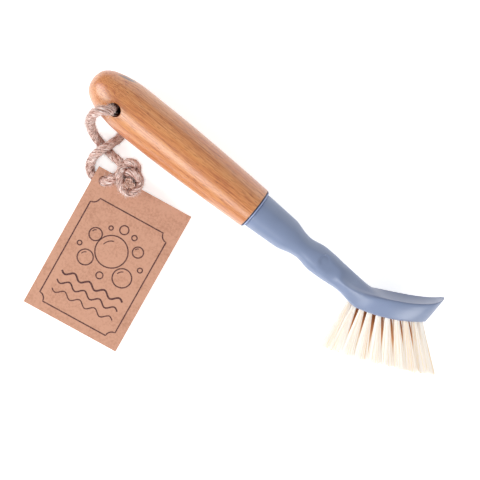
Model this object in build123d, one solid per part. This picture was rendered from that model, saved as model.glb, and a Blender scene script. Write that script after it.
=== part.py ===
from build123d import *
import math
import os

# Dish brush: a bamboo handle, a push-fit plastic neck and head with set-in bristle tufts,
# and a card tag on a jute hanging cord. Millimetres, +Z up.
# The brush lies on its side as on a table. The handle runs along X with its tail at -X,
# and the bristles point towards -Y. Every piece is made in the brush frame, whose origin
# is on the table below the middle of the bamboo's front end. At the end all pieces move
# together, so that the box of the brush stands centred on the origin.

# Driving dimensions: handle
handle_length = 117.0
handle_width = 31.0
handle_thickness = 25.4
collar_diameter = 25.2
handle_twist = 23.0
collar_chamfer = 0.5
hang_hole_diameter = 8.3
hang_hole_from_tail = 20.2
hang_hole_rounding = 0.8
tail_rounding = 1.6

# Driving dimensions: plastic socket in the handle
insert_diameter = 17.0
insert_length = 30.0
insert_wall = 1.6
glue_gap = 0.05
bore_end_gap = 0.4
flange_diameter = 24.0
flange_thickness = 1.4

# Driving dimensions: neck and head moulding
plug_end_gap = 3.85
plug_chamfer = 1.0
running_clearance = 0.06
seat_gap = 0.05
groove_diameter = 20.4
groove_width = 0.8
neck_base_width = 21.8
neck_length = 57.2
head_length = 56.9
head_lift = 27.8
face_middle_from_head_start = 35.2
rim_width = 37.2
face_width = 29.0

# Driving dimensions: tufts and their wire anchors
outer_ring_length = 42.0
outer_ring_width = 22.4
ring_end_gap = 6.2
tuft_pitch = 5.2
tuft_hole_diameter = 3.8
tuft_hole_depth = 6.0
tuft_clearance = 0.05
strand_width = 0.6
strand_sink = 0.4
bristle_length = 25.2
tip_length = 66.8
tip_ground_gap = 0.15
inner_strand_ring = 1.2
outer_strand_ring = 2.76
anchor_height = 1.4
anchor_thickness = 0.35
anchor_fold = 0.8
anchor_clearance = 0.05

# Driving dimensions: cord, knot and tag
cord_diameter = 4.9
tag_width = 60.0
tag_length = 90.0
tag_thickness = 0.5
tag_hole_diameter = 7.0
tag_hole_from_side = 6.6
tag_hole_from_top = 6.2
tag_ground_gap = 0.3

# Angles and counts
face_angle = 23.0
tip_angle = 24.5
bristle_angle = -56.6
tag_angle = 9.7
inner_strands = 4
outer_strands = 8

# One overrun serves every cut
overrun = 1.0

# Worked out from the values above
rim_half = rim_width / 2
face_half = face_width / 2
axis_height = rim_half
hole_x = hang_hole_from_tail - handle_length
neck_start = flange_thickness + seat_gap + groove_width
head_start = neck_start + neck_length
head_front = head_start + head_length
socket_diameter = insert_diameter - 2 * insert_wall
plug_diameter = socket_diameter - 2 * running_clearance
plug_length = flange_thickness + seat_gap + insert_length - insert_wall - plug_end_gap
inner_ring_length = outer_ring_length - 2 * ring_end_gap
inner_ring_width = outer_ring_width / 2
row_length = inner_ring_length - 2 * ring_end_gap
tuft_diameter = tuft_hole_diameter - 2 * tuft_clearance
strand_rings = ((inner_strands, inner_strand_ring / 2), (outer_strands, outer_strand_ring / 2))
tip_width = rim_width - 2 * tip_ground_gap - math.sqrt(2) * strand_width
fan_long_share = tip_length / (outer_ring_length + outer_strand_ring)
fan_wide_share = tip_width / (outer_ring_width + outer_strand_ring)
face_middle = head_start + face_middle_from_head_start

# Handle sections from collar to tail. Each row is a place as a share of the length, then
# how far the oval has grown from the collar's circle (0) to the full oval (1), the share of
# that size which is left where the tail rounds off, and how far the tail bends towards +Y,
# as a share of the width.
handle_section_shares = (
    (0.0, 0.0, 1.0, 0.0),
    (0.15, 0.37, 1.0, 0.0),
    (0.33, 0.73, 1.0, 0.0),
    (0.51, 0.96, 1.0, 0.0),
    (0.66, 1.0, 1.0, 0.0),
    (0.79, 1.0, 0.985, 0.006),
    (0.865, 1.0, 0.9, 0.014),
    (0.93, 1.0, 0.75, 0.023),
    (0.965, 1.0, 0.595, 0.028),
    (0.985, 1.0, 0.435, 0.031),
    (1.0, 1.0, 0.2, 0.032),
)

# Neck sections from the groove to the head. Each row is a place as a share of the neck,
# then half the height (Y) and half the breadth (Z) as shares of the neck's base width.
neck_section_shares = (
    (0.0, 0.5, 0.5),
    (0.138, 0.479, 0.482),
    (0.268, 0.459, 0.468),
    (0.38, 0.436, 0.453),
    (0.444, 0.393, 0.43),
    (0.506, 0.346, 0.405),
    (0.58, 0.317, 0.388),
    (0.632, 0.326, 0.386),
    (0.695, 0.358, 0.388),
    (0.755, 0.38, 0.388),
    (0.83, 0.376, 0.383),
    (0.91, 0.366, 0.374),
)

# Head sections from the neck to the front wall. Each row is a place as a share of the
# head's length, then the rim's height and half width, the height of the back's middle,
# how much the back is scooped beside the rim, and the height and half width of the
# bristle face's edge and the height of its middle. Heights are above the handle's axis
# towards +Y, as shares of the head's lift. Half widths are shares of the rim's or face's.
head_section_shares = (
    (0.0, 0.0, 0.41, 0.268, 0.0, -0.19, 0.36, -0.266),
    (0.08, -0.022, 0.468, 0.259, 0.5, -0.197, 0.375, -0.25),
    (0.168, -0.007, 0.585, 0.246, 0.9, -0.216, 0.46, -0.254),
    (0.256, 0.05, 0.76, 0.233, 1.0, -0.25, 0.655, -0.283),
    (0.343, 0.125, 0.91, 0.226, 0.9, -0.25, 0.83, -0.287),
    (0.431, 0.216, 0.985, 0.24, 0.7, -0.198, 0.94, -0.224),
    (0.536, 0.329, 1.0, 0.288, 0.45, -0.123, 0.99, -0.146),
    (0.641, 0.444, 0.985, 0.374, 0.35, -0.031, 1.0, -0.054),
    (0.747, 0.566, 0.93, 0.49, 0.3, 0.078, 0.96, 0.058),
    (0.834, 0.68, 0.85, 0.607, 0.3, 0.179, 0.865, 0.162),
    (0.904, 0.785, 0.745, 0.72, 0.3, 0.267, 0.735, 0.253),
    (0.957, 0.885, 0.615, 0.833, 0.3, 0.342, 0.575, 0.331),
    (0.99, 0.97, 0.44, 0.935, 0.3, 0.384, 0.38, 0.378),
    (1.0, 1.0, 0.33, 0.972, 0.3, 0.392, 0.26, 0.388),
)
side_bulge_share = 0.035
round_share = 0.5523
arc_share = 0.45

# Cord route, from the knot over the front of the hang hole, down through the handle,
# along the table under the handle and up through the tag to the knot again. The points
# are chosen by hand, in the brush frame.
cord_route = (
    (-71.4, -27.6, 10.8),
    (-76.3, -28.6, 7.2),
    (-81.2, -29.2, 4.2),
    (-86.4, -28.9, 2.6),
    (-91.6, -27.6, 3.2),
    (-96.4, -25.6, 6.6),
    (-100.4, -22.8, 12.0),
    (-103.4, -19.4, 18.6),
    (-105.2, -15.7, 25.6),
    (-106.0, -13.0, 33.1),
    (-104.2, -11.0, 37.2),
    (-100.6, -8.0, 38.2),
    (-97.6, -5.4, 35.5),
    (-97.3, -4.2, 30.6),
    (-97.2, 1.2, 16.6),
    (-97.6, 5.2, 7.6),
    (-95.0, 2.0, 2.6),
    (-89.4, -4.2, 2.5),
    (-84.8, -10.8, 2.5),
    (-83.0, -17.6, 2.8),
    (-83.8, -22.6, 5.6),
    (-85.4, -26.6, 8.4),
    (-87.4, -31.0, 8.6),
    (-88.4, -35.8, 5.8),
    (-87.2, -40.6, 2.8),
    (-83.3, -44.9, 2.5),
    (-76.6, -44.1, 2.8),
    (-73.8, -41.4, 8.5),
    (-71.6, -36.8, 10.6),
    (-69.2, -32.4, 11.6),
)

# How far up its run of the route, between the fourth and third points from the end, the
# middle of the card lies
tag_on_run_share = 0.54

# The knot is two rings of cord round a core, and the cut end of the cord. All places are
# in cord diameters along the knot's long way, across it and up. Its middle is placed from
# the two ends of the route, and its pieces from that middle.
knot_turn = -48.0
knot_middle_shares = (0.79, 0.58, 0.37)
knot_ring_shares = ((0.42, 0.0, -0.05), (-0.5, 0.0, 0.0))
knot_ring_tilts = (18.0, -24.0)
knot_ring_radius_share = 1.17
knot_core_share = 1.05
knot_end_shares = (0.25, 0.0, 0.0)
knot_end_rise_share = 1.15


def across_handle(x, bend=0):
    # The plane square to the handle's axis at x, with its own X along Y and own Y up
    return Plane(origin=(x, bend, axis_height), x_dir=(0, 1, 0), z_dir=(1, 0, 0))


def along_handle(x, radius, length):
    # A round bar on the handle's axis, from x towards +X
    bar = Cylinder(radius, length, align=(Align.CENTER, Align.CENTER, Align.MIN))
    return across_handle(x) * bar


def hang_hole_plane():
    # Its own Z runs up the hang hole, which leans towards the bristle side
    lean = math.radians(handle_twist)
    axis = (0, -math.sin(lean), math.cos(lean))
    return Plane(origin=(hole_x, 0, axis_height), x_dir=(1, 0, 0), z_dir=axis)


def is_hole_mouth(edge):
    # True for the two edges where the hang hole leaves the handle's surface
    middle = hang_hole_plane().to_local_coords(edge.center(CenterOf.BOUNDING_BOX))
    near_axis = math.hypot(middle.X, middle.Y) < hang_hole_diameter / 2
    return near_axis and edge.length > 2 * hang_hole_diameter


def make_handle():
    collar_half = collar_diameter / 2
    wider = handle_width / 2 - collar_half
    thicker = handle_thickness / 2 - collar_half
    sections = []
    for place, growth, left, bend in handle_section_shares:
        oval = Ellipse((collar_half + growth * wider) * left, (collar_half + growth * thicker) * left)
        plane = across_handle(-place * handle_length, bend * handle_width)
        sections.append(plane * Rot(0, 0, handle_twist) * oval)
    body = loft(sections)
    body = chamfer(body.edges().sort_by(Axis.X)[-1], collar_chamfer)
    body = fillet(body.edges().sort_by(Axis.X)[0], tail_rounding)
    bore_depth = insert_length + bore_end_gap
    body -= along_handle(-bore_depth, insert_diameter / 2 + glue_gap, bore_depth + overrun)
    body -= hang_hole_plane() * Cylinder(hang_hole_diameter / 2, 2 * handle_thickness)
    mouths = [edge for edge in body.edges() if is_hole_mouth(edge)]
    return fillet(mouths, hang_hole_rounding)


def make_socket_insert():
    flange = along_handle(0, flange_diameter / 2, flange_thickness)
    flange = fillet(flange.edges().filter_by(GeomType.CIRCLE), flange_thickness / 4)
    cup = flange + along_handle(-insert_length, insert_diameter / 2, insert_length)
    depth = insert_length - insert_wall
    return cup - along_handle(-depth, socket_diameter / 2, depth + flange_thickness + overrun)


def neck_section(x, half_high, half_broad):
    # One oval outline, in the same five curves as a head section
    eighth = math.radians(45)
    sixteenth = eighth / 2
    corner = (-half_high * math.sin(eighth), half_broad * math.cos(eighth))
    side = (-half_high * math.sin(sixteenth), half_broad * math.cos(sixteenth))
    rim = (0, half_broad)
    upright = (half_high * round_share, half_broad)
    level = (half_high, half_broad * round_share)
    return closed_outline(x, rim, upright, level, half_high, side, corner, -half_high)


def head_section(x, rim_y, rim_z, back_y, scoop, face_y, face_z, belly_y):
    # Without scoop the back's curve stands upright at the rim, as on the round neck, and
    # with scoop it runs inwards from there
    upright = (
        rim_y + (1 - scoop) * round_share * (back_y - rim_y),
        rim_z * (1 - scoop * round_share),
    )
    level = (back_y, rim_z * round_share)
    bulge = side_bulge_share * (rim_y - face_y)
    side = ((rim_y + face_y) / 2 - bulge, (rim_z + face_z) / 2 + bulge)
    return closed_outline(x, (rim_y, rim_z), upright, level, back_y, side, (face_y, face_z), belly_y)


def closed_outline(x, rim, upright, level, back_y, side, corner, belly_y):
    # Two curves over the back, two sides and the bristle face, mirrored about Z = 0
    def other(point):
        return (point[0], -point[1])

    crown = (back_y, 0)
    edges = [
        Bezier(rim, upright, level, crown),
        Bezier(crown, other(level), other(upright), other(rim)),
        ThreePointArc(other(rim), other(side), other(corner)),
        ThreePointArc(other(corner), (belly_y, 0), corner),
        ThreePointArc(corner, side, rim),
    ]
    return across_handle(x) * make_face(edges)


def make_brush_head():
    sections = []
    for place, high, broad in neck_section_shares:
        x = neck_start + place * neck_length
        sections.append(neck_section(x, high * neck_base_width, broad * neck_base_width))
    for place, rim_y, rim_z, back_y, scoop, face_y, face_z, belly_y in head_section_shares:
        x = head_start + place * head_length
        rim = (rim_y * head_lift, rim_z * rim_half)
        face = (face_y * head_lift, face_z * face_half)
        sections.append(head_section(x, *rim, back_y * head_lift, scoop, *face, belly_y * head_lift))
    moulding = loft(sections)
    seat = flange_thickness + seat_gap
    moulding += along_handle(seat, groove_diameter / 2, groove_width + overrun)
    plug_start = seat - plug_length
    plug = along_handle(plug_start, plug_diameter / 2, plug_length + overrun)
    plug = chamfer(plug.edges().sort_by(Axis.X)[0], plug_chamfer)
    moulding += plug
    tool = Cylinder(
        tuft_hole_diameter / 2,
        tuft_hole_depth + 2 * overrun,
        align=(Align.CENTER, Align.CENTER, Align.MIN),
    )
    tool = Pos(0, 0, -tuft_hole_depth) * tool
    return moulding - [tuft_plane(*place) * tool for place in tuft_places()]


def face_height(x, z):
    # Height of the bristle face above the handle's axis, z to the side of its middle
    place = (x - head_start) / head_length
    rows = head_section_shares
    last = next(i for i in range(1, len(rows)) if rows[i][0] >= min(place, 1))
    before, after = rows[last - 1], rows[last]
    mix = (place - before[0]) / (after[0] - before[0])
    between = [a + mix * (b - a) for a, b in zip(before, after)]
    edge_y, edge_z, middle_y = between[-3:]
    off_middle = (z / (edge_z * face_half)) ** 2
    return head_lift * (middle_y + (edge_y - middle_y) * off_middle)


def ring_places(ring_length, ring_width):
    # Places about a tuft pitch apart round an oval, evenly spaced along it
    steps = 360
    half_long, half_wide = ring_length / 2, ring_width / 2
    points = []
    for i in range(steps + 1):
        angle = 2 * math.pi * i / steps
        points.append((half_long * math.cos(angle), half_wide * math.sin(angle)))
    travelled = [0.0]
    for before, after in zip(points, points[1:]):
        travelled.append(travelled[-1] + math.dist(before, after))
    count = round(travelled[-1] / tuft_pitch)
    places = []
    for i in range(count):
        wanted = (i + 0.5) * travelled[-1] / count
        nearest = min(range(steps), key=lambda j: abs(travelled[j] - wanted))
        places.append(points[nearest])
    return places


def tuft_places():
    # Along the bristle face and to its side, from its middle
    outer = ring_places(outer_ring_length, outer_ring_width)
    inner = ring_places(inner_ring_length, inner_ring_width)
    row_count = round(row_length / tuft_pitch) + 1
    row = [((i / (row_count - 1) - 0.5) * row_length, 0.0) for i in range(row_count)]
    return outer + inner + row


def root_point(along, aside):
    slope = math.radians(face_angle)
    x = face_middle + along * math.cos(slope)
    return Vector(x, face_height(x, aside), axis_height + aside)


def tip_point(along, aside):
    # The tips are trimmed to one plane. They fan out from the face by the two shares.
    middle = root_point(0, 0)
    lean = math.radians(bristle_angle)
    slope = math.radians(tip_angle)
    reach = along * fan_long_share
    x = middle.X + bristle_length * math.cos(lean) + reach * math.cos(slope)
    y = middle.Y + bristle_length * math.sin(lean) + reach * math.sin(slope)
    return Vector(x, y, axis_height + aside * fan_wide_share)


def tuft_plane(along, aside):
    # At the tuft's root on the bristle face, its own Z along the tuft
    root = root_point(along, aside)
    return Plane(origin=root, x_dir=(1, 0, 0), z_dir=tip_point(along, aside) - root)


def strand_offsets():
    offsets = []
    for ring, (count, radius) in enumerate(strand_rings):
        for i in range(count):
            angle = 2 * math.pi * (i + ring / 2) / count
            offsets.append((radius * math.cos(angle), radius * math.sin(angle)))
    return offsets


def make_strand(along, aside, offset_along, offset_aside):
    # A four-sided filament bundle from inside the plug to the plane of the tips
    root = tuft_plane(along, aside).from_local_coords((offset_along, offset_aside, 0))
    tip = tip_point(along + offset_along, aside + offset_aside)
    way = (tip - root).normalized()
    foot = root - way * strand_sink
    strand = Box(
        strand_width,
        strand_width,
        (tip - foot).length,
        align=(Align.CENTER, Align.CENTER, Align.MIN),
    )
    return Plane(origin=foot, x_dir=(1, 0, 0), z_dir=way) * strand


def anchor_box(thickness, height, length):
    # The flat wire that holds a tuft stands on edge above the fold at the hole's bottom
    anchor = Box(length, thickness, height, align=(Align.CENTER, Align.CENTER, Align.MIN))
    return Pos(0, 0, -tuft_hole_depth + anchor_fold) * anchor


def make_tuft(along, aside):
    plug = Cylinder(
        tuft_diameter / 2,
        tuft_hole_depth - tuft_clearance,
        align=(Align.CENTER, Align.CENTER, Align.MAX),
    )
    thickness = anchor_thickness + 2 * anchor_clearance
    height = anchor_height + 2 * anchor_clearance
    slot = anchor_box(thickness, height, 2 * tuft_diameter)
    plug = plug - Pos(0, 0, -anchor_clearance) * slot
    strands = [make_strand(along, aside, *offset) for offset in strand_offsets()]
    return tuft_plane(along, aside) * plug + strands


def make_anchors():
    anchor = anchor_box(anchor_thickness, anchor_height, tuft_diameter)
    return Compound([tuft_plane(*place) * anchor for place in tuft_places()])


def corner_radii(route):
    # Each corner of the route gets as large an arc as its two runs allow
    radii = []
    for before, here, after in zip(route, route[1:], route[2:]):
        run_in = Vector(here) - Vector(before)
        run_out = Vector(after) - Vector(here)
        half_turn = math.radians(run_in.get_angle(run_out)) / 2
        radii.append(arc_share * min(run_in.length, run_out.length) / math.tan(half_turn))
    return radii


def make_hang_cord():
    radii = corner_radii(cord_route)
    path = FilletPolyline(*cord_route, radius=radii)
    tube = sweep(Plane(path ^ 0) * Circle(cord_diameter / 2), path=path)
    section = math.pi * cord_diameter**2 / 4
    print("cord radii", [round(radius, 1) for radius in radii])
    print("cord length", round(path.length, 1), "volume share", tube.volume / section / path.length)
    return tube


def knot_plane():
    # At the middle of the knot, its own X along the knot's long way
    ends = (Vector(cord_route[0]) + Vector(cord_route[-1])) / 2
    turned = Plane(origin=ends) * Rot(0, 0, knot_turn)
    offset = Vector(*knot_middle_shares) * cord_diameter
    return Plane(turned * Pos(offset))


def knot_offset(shares):
    return Pos(Vector(*shares) * cord_diameter)


def make_cord_knot():
    half = cord_diameter / 2
    knot = Sphere(knot_core_share * cord_diameter)
    for shares, tilt in zip(knot_ring_shares, knot_ring_tilts):
        ring = Torus(knot_ring_radius_share * cord_diameter, half)
        knot += knot_offset(shares) * Rot(0, tilt, 0) * ring
    end = Cylinder(
        half,
        knot_end_rise_share * cord_diameter,
        align=(Align.CENTER, Align.CENTER, Align.MIN),
    )
    knot += knot_offset(knot_end_shares) * end
    return knot_plane() * knot


def tag_plane():
    # At the middle of the tag's hole, its own X along the width and Y towards the top edge.
    # The tag slopes from the cord under its top corner down to the table.
    lower, upper = [Vector(point) for point in cord_route[-4:-2]]
    hole = lower + (upper - lower) * tag_on_run_share
    drop = hole.Z - tag_ground_gap - tag_thickness / 2
    slope = math.asin(drop / (tag_length - tag_hole_from_top))
    turn = math.radians(tag_angle)
    up = (
        math.sin(turn) * math.sin(slope),
        -math.cos(turn) * math.sin(slope),
        math.cos(slope),
    )
    return Plane(origin=hole, x_dir=(math.cos(turn), math.sin(turn), 0), z_dir=up)


def make_hang_tag():
    card = Pos(-tag_hole_from_side, tag_hole_from_top, 0) * Box(
        tag_width,
        tag_length,
        tag_thickness,
        align=(Align.MIN, Align.MAX, Align.CENTER),
    )
    return tag_plane() * (card - Cylinder(tag_hole_diameter / 2, 2 * overrun))


def brush_box_shift(solids):
    # Brings the box of the brush to the middle of the table, standing on it
    boxes = [solid.bounding_box() for solid in solids]
    low = [min(getattr(box.min, axis) for box in boxes) for axis in "XYZ"]
    high = [max(getattr(box.max, axis) for box in boxes) for axis in "XYZ"]
    return Pos(-(low[0] + high[0]) / 2, -(low[1] + high[1]) / 2, -low[2])


brush = {
    "handle": make_handle(),
    "socket_insert": make_socket_insert(),
    "brush_head": make_brush_head(),
    "anchor_staples": make_anchors(),
}
for number, place in enumerate(tuft_places(), start=1):
    brush[f"tuft_{number:02d}"] = make_tuft(*place)
hanger = {
    "hang_cord": make_hang_cord(),
    "cord_knot": make_cord_knot(),
    "hang_tag": make_hang_tag(),
}
shift = brush_box_shift(brush.values())
print("shift from the brush frame", shift.position)
os.makedirs("parts", exist_ok=True)
for name, solid in (brush | hanger).items():
    export_step(shift * solid, "parts/" + name + ".step")
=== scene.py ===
import math
import random

import bmesh
import bpy
from mathutils import Matrix, Vector, geometry, noise


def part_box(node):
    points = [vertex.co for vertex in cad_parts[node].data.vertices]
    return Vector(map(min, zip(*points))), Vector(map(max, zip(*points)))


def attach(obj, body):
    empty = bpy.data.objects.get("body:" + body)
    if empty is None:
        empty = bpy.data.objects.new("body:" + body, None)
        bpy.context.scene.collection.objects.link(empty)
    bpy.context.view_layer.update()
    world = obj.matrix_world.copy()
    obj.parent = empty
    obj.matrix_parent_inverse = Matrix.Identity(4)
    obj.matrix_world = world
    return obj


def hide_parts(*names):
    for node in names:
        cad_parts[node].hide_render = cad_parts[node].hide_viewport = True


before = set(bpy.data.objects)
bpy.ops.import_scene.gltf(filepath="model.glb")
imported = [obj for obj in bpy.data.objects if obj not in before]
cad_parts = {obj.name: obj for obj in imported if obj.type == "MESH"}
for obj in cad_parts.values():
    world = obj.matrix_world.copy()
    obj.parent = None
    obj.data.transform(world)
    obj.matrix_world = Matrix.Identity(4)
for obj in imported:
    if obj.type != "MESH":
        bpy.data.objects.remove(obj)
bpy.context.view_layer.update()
mm = 0.001

# Brush frame, in mm: its origin is on the table under the front end of the bamboo's axis,
# with the handle along -X, the bristles towards -Y and Z up.
axisHeight = 18.6
insertLow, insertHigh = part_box("socket_insert")
axisMiddle = (insertLow + insertHigh) / 2
brushOrigin = Vector((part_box("handle")[1].x, axisMiddle.y, axisMiddle.z - axisHeight * mm))


def place(x, y, z):
    return brushOrigin + Vector((x, y, z)) * mm


# Small helpers


def linearColour(hexValue):
    # sRGB hex to the linear colour that a shader socket takes
    parts = [int(hexValue[i:i + 2], 16) / 255 for i in (1, 3, 5)]
    return [c / 12.92 if c <= 0.04045 else ((c + 0.055) / 1.055) ** 2.4 for c in parts] + [1.0]


def addNode(tree, kind, inputs=None, stops=None, **settings):
    # One node with its settings. An input takes a value, a socket, or a node, whose first live output is linked
    node = tree.nodes.new(kind)
    for name, value in settings.items():
        setattr(node, name, value)
    for key, value in (inputs or {}).items():
        if isinstance(value, bpy.types.Node):
            value = next(socket for socket in value.outputs if socket.enabled)
        if isinstance(value, bpy.types.NodeSocket):
            tree.links.new(value, node.inputs[key])
        else:
            node.inputs[key].default_value = value
    if stops:
        ramp = node.color_ramp
        while len(ramp.elements) < len(stops):
            ramp.elements.new(0.5)
        for element, (position, colour) in zip(ramp.elements, stops):
            element.position = position
            element.color = linearColour(colour)
    return node


def newMaterial(name):
    made = bpy.data.materials.new(name)
    made.use_nodes = True
    made.node_tree.nodes.clear()
    return made, made.node_tree


def speckledMaterial(name, grain, stops, surface, pattern="ShaderNodeTexNoise"):
    # A plain finish whose tone follows one fine pattern, with the pattern's scale in 1/m
    made, tree = newMaterial(name)
    where = addNode(tree, "ShaderNodeTexCoord").outputs["Object"]
    speck = addNode(tree, pattern, {"Vector": where, **grain})
    tone = addNode(tree, "ShaderNodeValToRGB", {0: speck}, stops=stops)
    shader = addNode(tree, "ShaderNodeBsdfPrincipled", {"Base Color": tone, **surface})
    addNode(tree, "ShaderNodeOutputMaterial", {"Surface": shader})
    return made


def addObject(name, data):
    made = bpy.data.objects.new(name, data)
    bpy.context.collection.objects.link(made)
    return made


def addPiece(name, vertices, faces, material, smooth=True):
    mesh = bpy.data.meshes.new(name)
    mesh.from_pydata(vertices, [], faces)
    work = bmesh.new()
    work.from_mesh(mesh)
    bmesh.ops.recalc_face_normals(work, faces=work.faces)
    work.to_mesh(mesh)
    work.free()
    mesh.materials.append(material)
    mesh.polygons.foreach_set("use_smooth", [smooth] * len(mesh.polygons))
    return addObject(name, mesh)


def addRing(vertices, points):
    # Adds the points and gives their numbers
    vertices += points
    return list(range(len(vertices) - len(points), len(vertices)))


def bandFaces(before, after):
    # Quads between two closed rings of vertex numbers
    count = len(before)
    return [(before[i], before[(i + 1) % count], after[(i + 1) % count], after[i]) for i in range(count)]


def skinFaces(rings):
    return [quad for before, after in zip(rings, rings[1:]) for quad in bandFaces(before, after)]


def fanFaces(ring, pole):
    return [(ring[i], ring[(i + 1) % len(ring)], pole) for i in range(len(ring))]


def turnsOf(count):
    # Angle, cosine and sine at even steps round a circle
    angles = [2 * math.pi * j / count for j in range(count)]
    return [(angle, math.cos(angle), math.sin(angle)) for angle in angles]


def quarterRound(radius, steps):
    # How far a rounded edge lies back and in, from its start to its end
    angles = [math.radians(90 / steps * step) for step in range(steps + 1)]
    return [(radius * (1 - math.sin(angle)), radius * (1 - math.cos(angle))) for angle in angles]


def runningLength(points):
    lengths = [0.0]
    for before, after in zip(points, points[1:]):
        lengths.append(lengths[-1] + math.dist(before, after))
    return lengths


def curveThrough(rows, knots, spacing):
    # Rows of numbers on a smooth curve through the given rows, about a spacing of the knots apart
    made = []
    last = len(rows) - 1
    for i in range(last):
        span = knots[i + 1] - knots[i]
        steps = max(1, round(span / spacing))
        before, after = max(i - 1, 0), min(i + 2, last)
        for step in range(steps + (i == last - 1)):
            t = step / steps
            row = []
            for a0, a, b, b1 in zip(rows[before], rows[i], rows[i + 1], rows[after]):
                slopeIn = (b - a0) / (knots[i + 1] - knots[before]) * span
                slopeOut = (b1 - a) / (knots[after] - knots[i]) * span
                row.append(
                    (2 * t**3 - 3 * t**2 + 1) * a + (t**3 - 2 * t**2 + t) * slopeIn
                    + (3 * t**2 - 2 * t**3) * b + (t**3 - t**2) * slopeOut
                )
            made.append(row)
    return made


# Camera, level with the photograph's

view = {
    "middle": (5.2, -19.2, 18.6),
    "turn": 38.8,
    "tilt": 8.0,
    "distance": 2500.0,
    "frameWidth": 271.7,
    "sensor": 36.0,
    "clip": (0.1, 10.0),  # m
}


def addCamera():
    turn, tilt = math.radians(view["turn"]), math.radians(view["tilt"])
    right = Vector((math.cos(turn), math.sin(turn), 0))
    back = Vector((-math.sin(turn) * math.sin(tilt), math.cos(turn) * math.sin(tilt), math.cos(tilt)))
    up = back.cross(right)
    data = bpy.data.cameras.new("camera")
    data.sensor_width = view["sensor"]
    data.lens = view["sensor"] * view["distance"] / view["frameWidth"]
    data.clip_start, data.clip_end = view["clip"]
    camera = addObject("camera", data)
    where = place(*view["middle"]) + back * view["distance"] * mm
    turned = Matrix((right, up, back)).transposed().to_4x4()
    camera.matrix_world = Matrix.Translation(where) @ turned
    bpy.context.scene.camera = camera


addCamera()
print("camera set")


# Jute cord and knot

cord = {
    "diameter": 4.9,
    "plies": 3,
    "plyPitch": 23.0,  # mm for one turn of the lay
    "plyDepth": 0.14,  # how deep the grooves go, as a share of the radius
    "lumpiness": 0.3,  # mm
    "lumpSize": 1.3,  # mm
    "loft": 1.06,  # how far the spun plies stand proud of the cord's drawn size
    "around": 42,
    "length": 0.188,
    "floorGap": 0.05,
    "route": [
        (-71.8, -27.8, 10.8), (-76.9, -28.4, 7.2), (-81.8, -28.3, 4.2), (-86.6, -27.9, 2.7),
        (-91.6, -27.1, 3.1), (-96.3, -25.2, 6.8), (-100.2, -22.6, 13.0), (-103.0, -19.5, 21.0),
        (-104.6, -16.0, 29.0), (-104.9, -12.6, 35.2), (-103.7, -9.6, 38.0), (-101.4, -7.3, 38.1),
        (-99.3, -6.2, 35.0), (-98.2, -6.3, 29.5), (-97.5, 0.7, 16.6), (-97.6, 5.2, 7.6),
        (-95.0, 2.4, 2.7), (-89.4, -4.2, 2.7), (-84.7, -10.6, 2.7), (-83.1, -16.7, 2.8),
        (-84.3, -21.2, 5.8), (-85.9, -25.2, 8.6), (-87.8, -29.9, 8.8), (-88.5, -35.2, 5.8),
        (-87.2, -40.4, 2.8), (-83.1, -45.0, 2.7), (-75.9, -43.5, 2.8), (-73.0, -40.8, 8.5),
        (-72.1, -36.6, 10.6), (-69.5, -32.1, 11.6),
    ],
}
# The knot's strands, in mm from its middle: along it, across it and up
knot = {
    "middle": (-65.6, -31.0, 13.0),
    "turn": -51.2,
    "wrap": [
        (-0.6, 1.0, -4.4), (-1.3, 3.2, -1.2), (-2.8, 1.2, 1.6), (-3.1, -2.0, 2.9), (-1.3, -4.6, 3.0),
        (1.7, -6.0, 2.2), (5.0, -5.4, 1.2), (7.9, -2.6, 0.6), (8.9, 0.6, 0.6), (7.0, 3.4, 1.4),
        (3.6, 5.0, 2.3), (-0.6, 5.7, 2.5), (-4.4, 5.0, 2.0), (-7.2, 2.8, 0.6), (-7.4, 0.0, -1.6),
    ],
    "lobe": [
        (-2.4, 4.6, -4.0), (-5.2, 3.9, -1.6), (-8.0, 1.8, 0.8), (-8.7, -1.0, 1.4), (-7.3, -3.2, 0.8),
        (-4.6, -4.4, -1.2), (-2.0, -3.6, -3.4),
    ],
    "tuck": [
        (-5.4, 2.6, -3.6), (-5.6, -0.8, -3.0), (-3.2, -3.6, -3.2), (0.5, -4.4, -3.6), (5.0, -3.2, -3.4),
        (6.6, 0.6, -3.4), (4.4, 3.8, -3.2), (0.0, 4.8, -3.4),
    ],
    "endRounding": 0.3,
    "cutEnd": [(1.8, -0.2, -3.4), (2.4, -0.1, -0.2), (3.0, 0.1, 2.6), (3.3, 0.3, 4.9)],
    "cutPly": {"around": 14, "radius": 0.56, "apart": 0.86, "untwist": 0.25, "flare": 1.5, "rough": 0.16},
    # The cut end is rough: share of a ply's radius and height in mm, from its raised rim to its sunk middle
    "cutFace": [(0.82, 0.25), (0.5, -0.1), (0.2, -0.35)],
    "cutMiddle": -0.4,
}


def routePath(name, points, steps):
    # Points of the smooth curve that the route's control points pull
    curve = bpy.data.curves.new(name, "CURVE")
    curve.dimensions = "3D"
    curve.resolution_u = steps
    spline = curve.splines.new("NURBS")
    spline.points.add(len(points) - 1)
    for point, at in zip(spline.points, points):
        point.co = (*at, 1.0)
    spline.order_u = 3
    spline.use_endpoint_u = True
    guide = bpy.data.objects.new(name, curve)
    line = bpy.data.meshes.new_from_object(guide)
    path = [vertex.co.copy() for vertex in line.vertices]
    bpy.data.objects.remove(guide)
    bpy.data.curves.remove(curve)
    bpy.data.meshes.remove(line)
    return path


def headingAt(path, i):
    return (path[min(i + 1, len(path) - 1)] - path[max(i - 1, 0)]).normalized()


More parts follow.
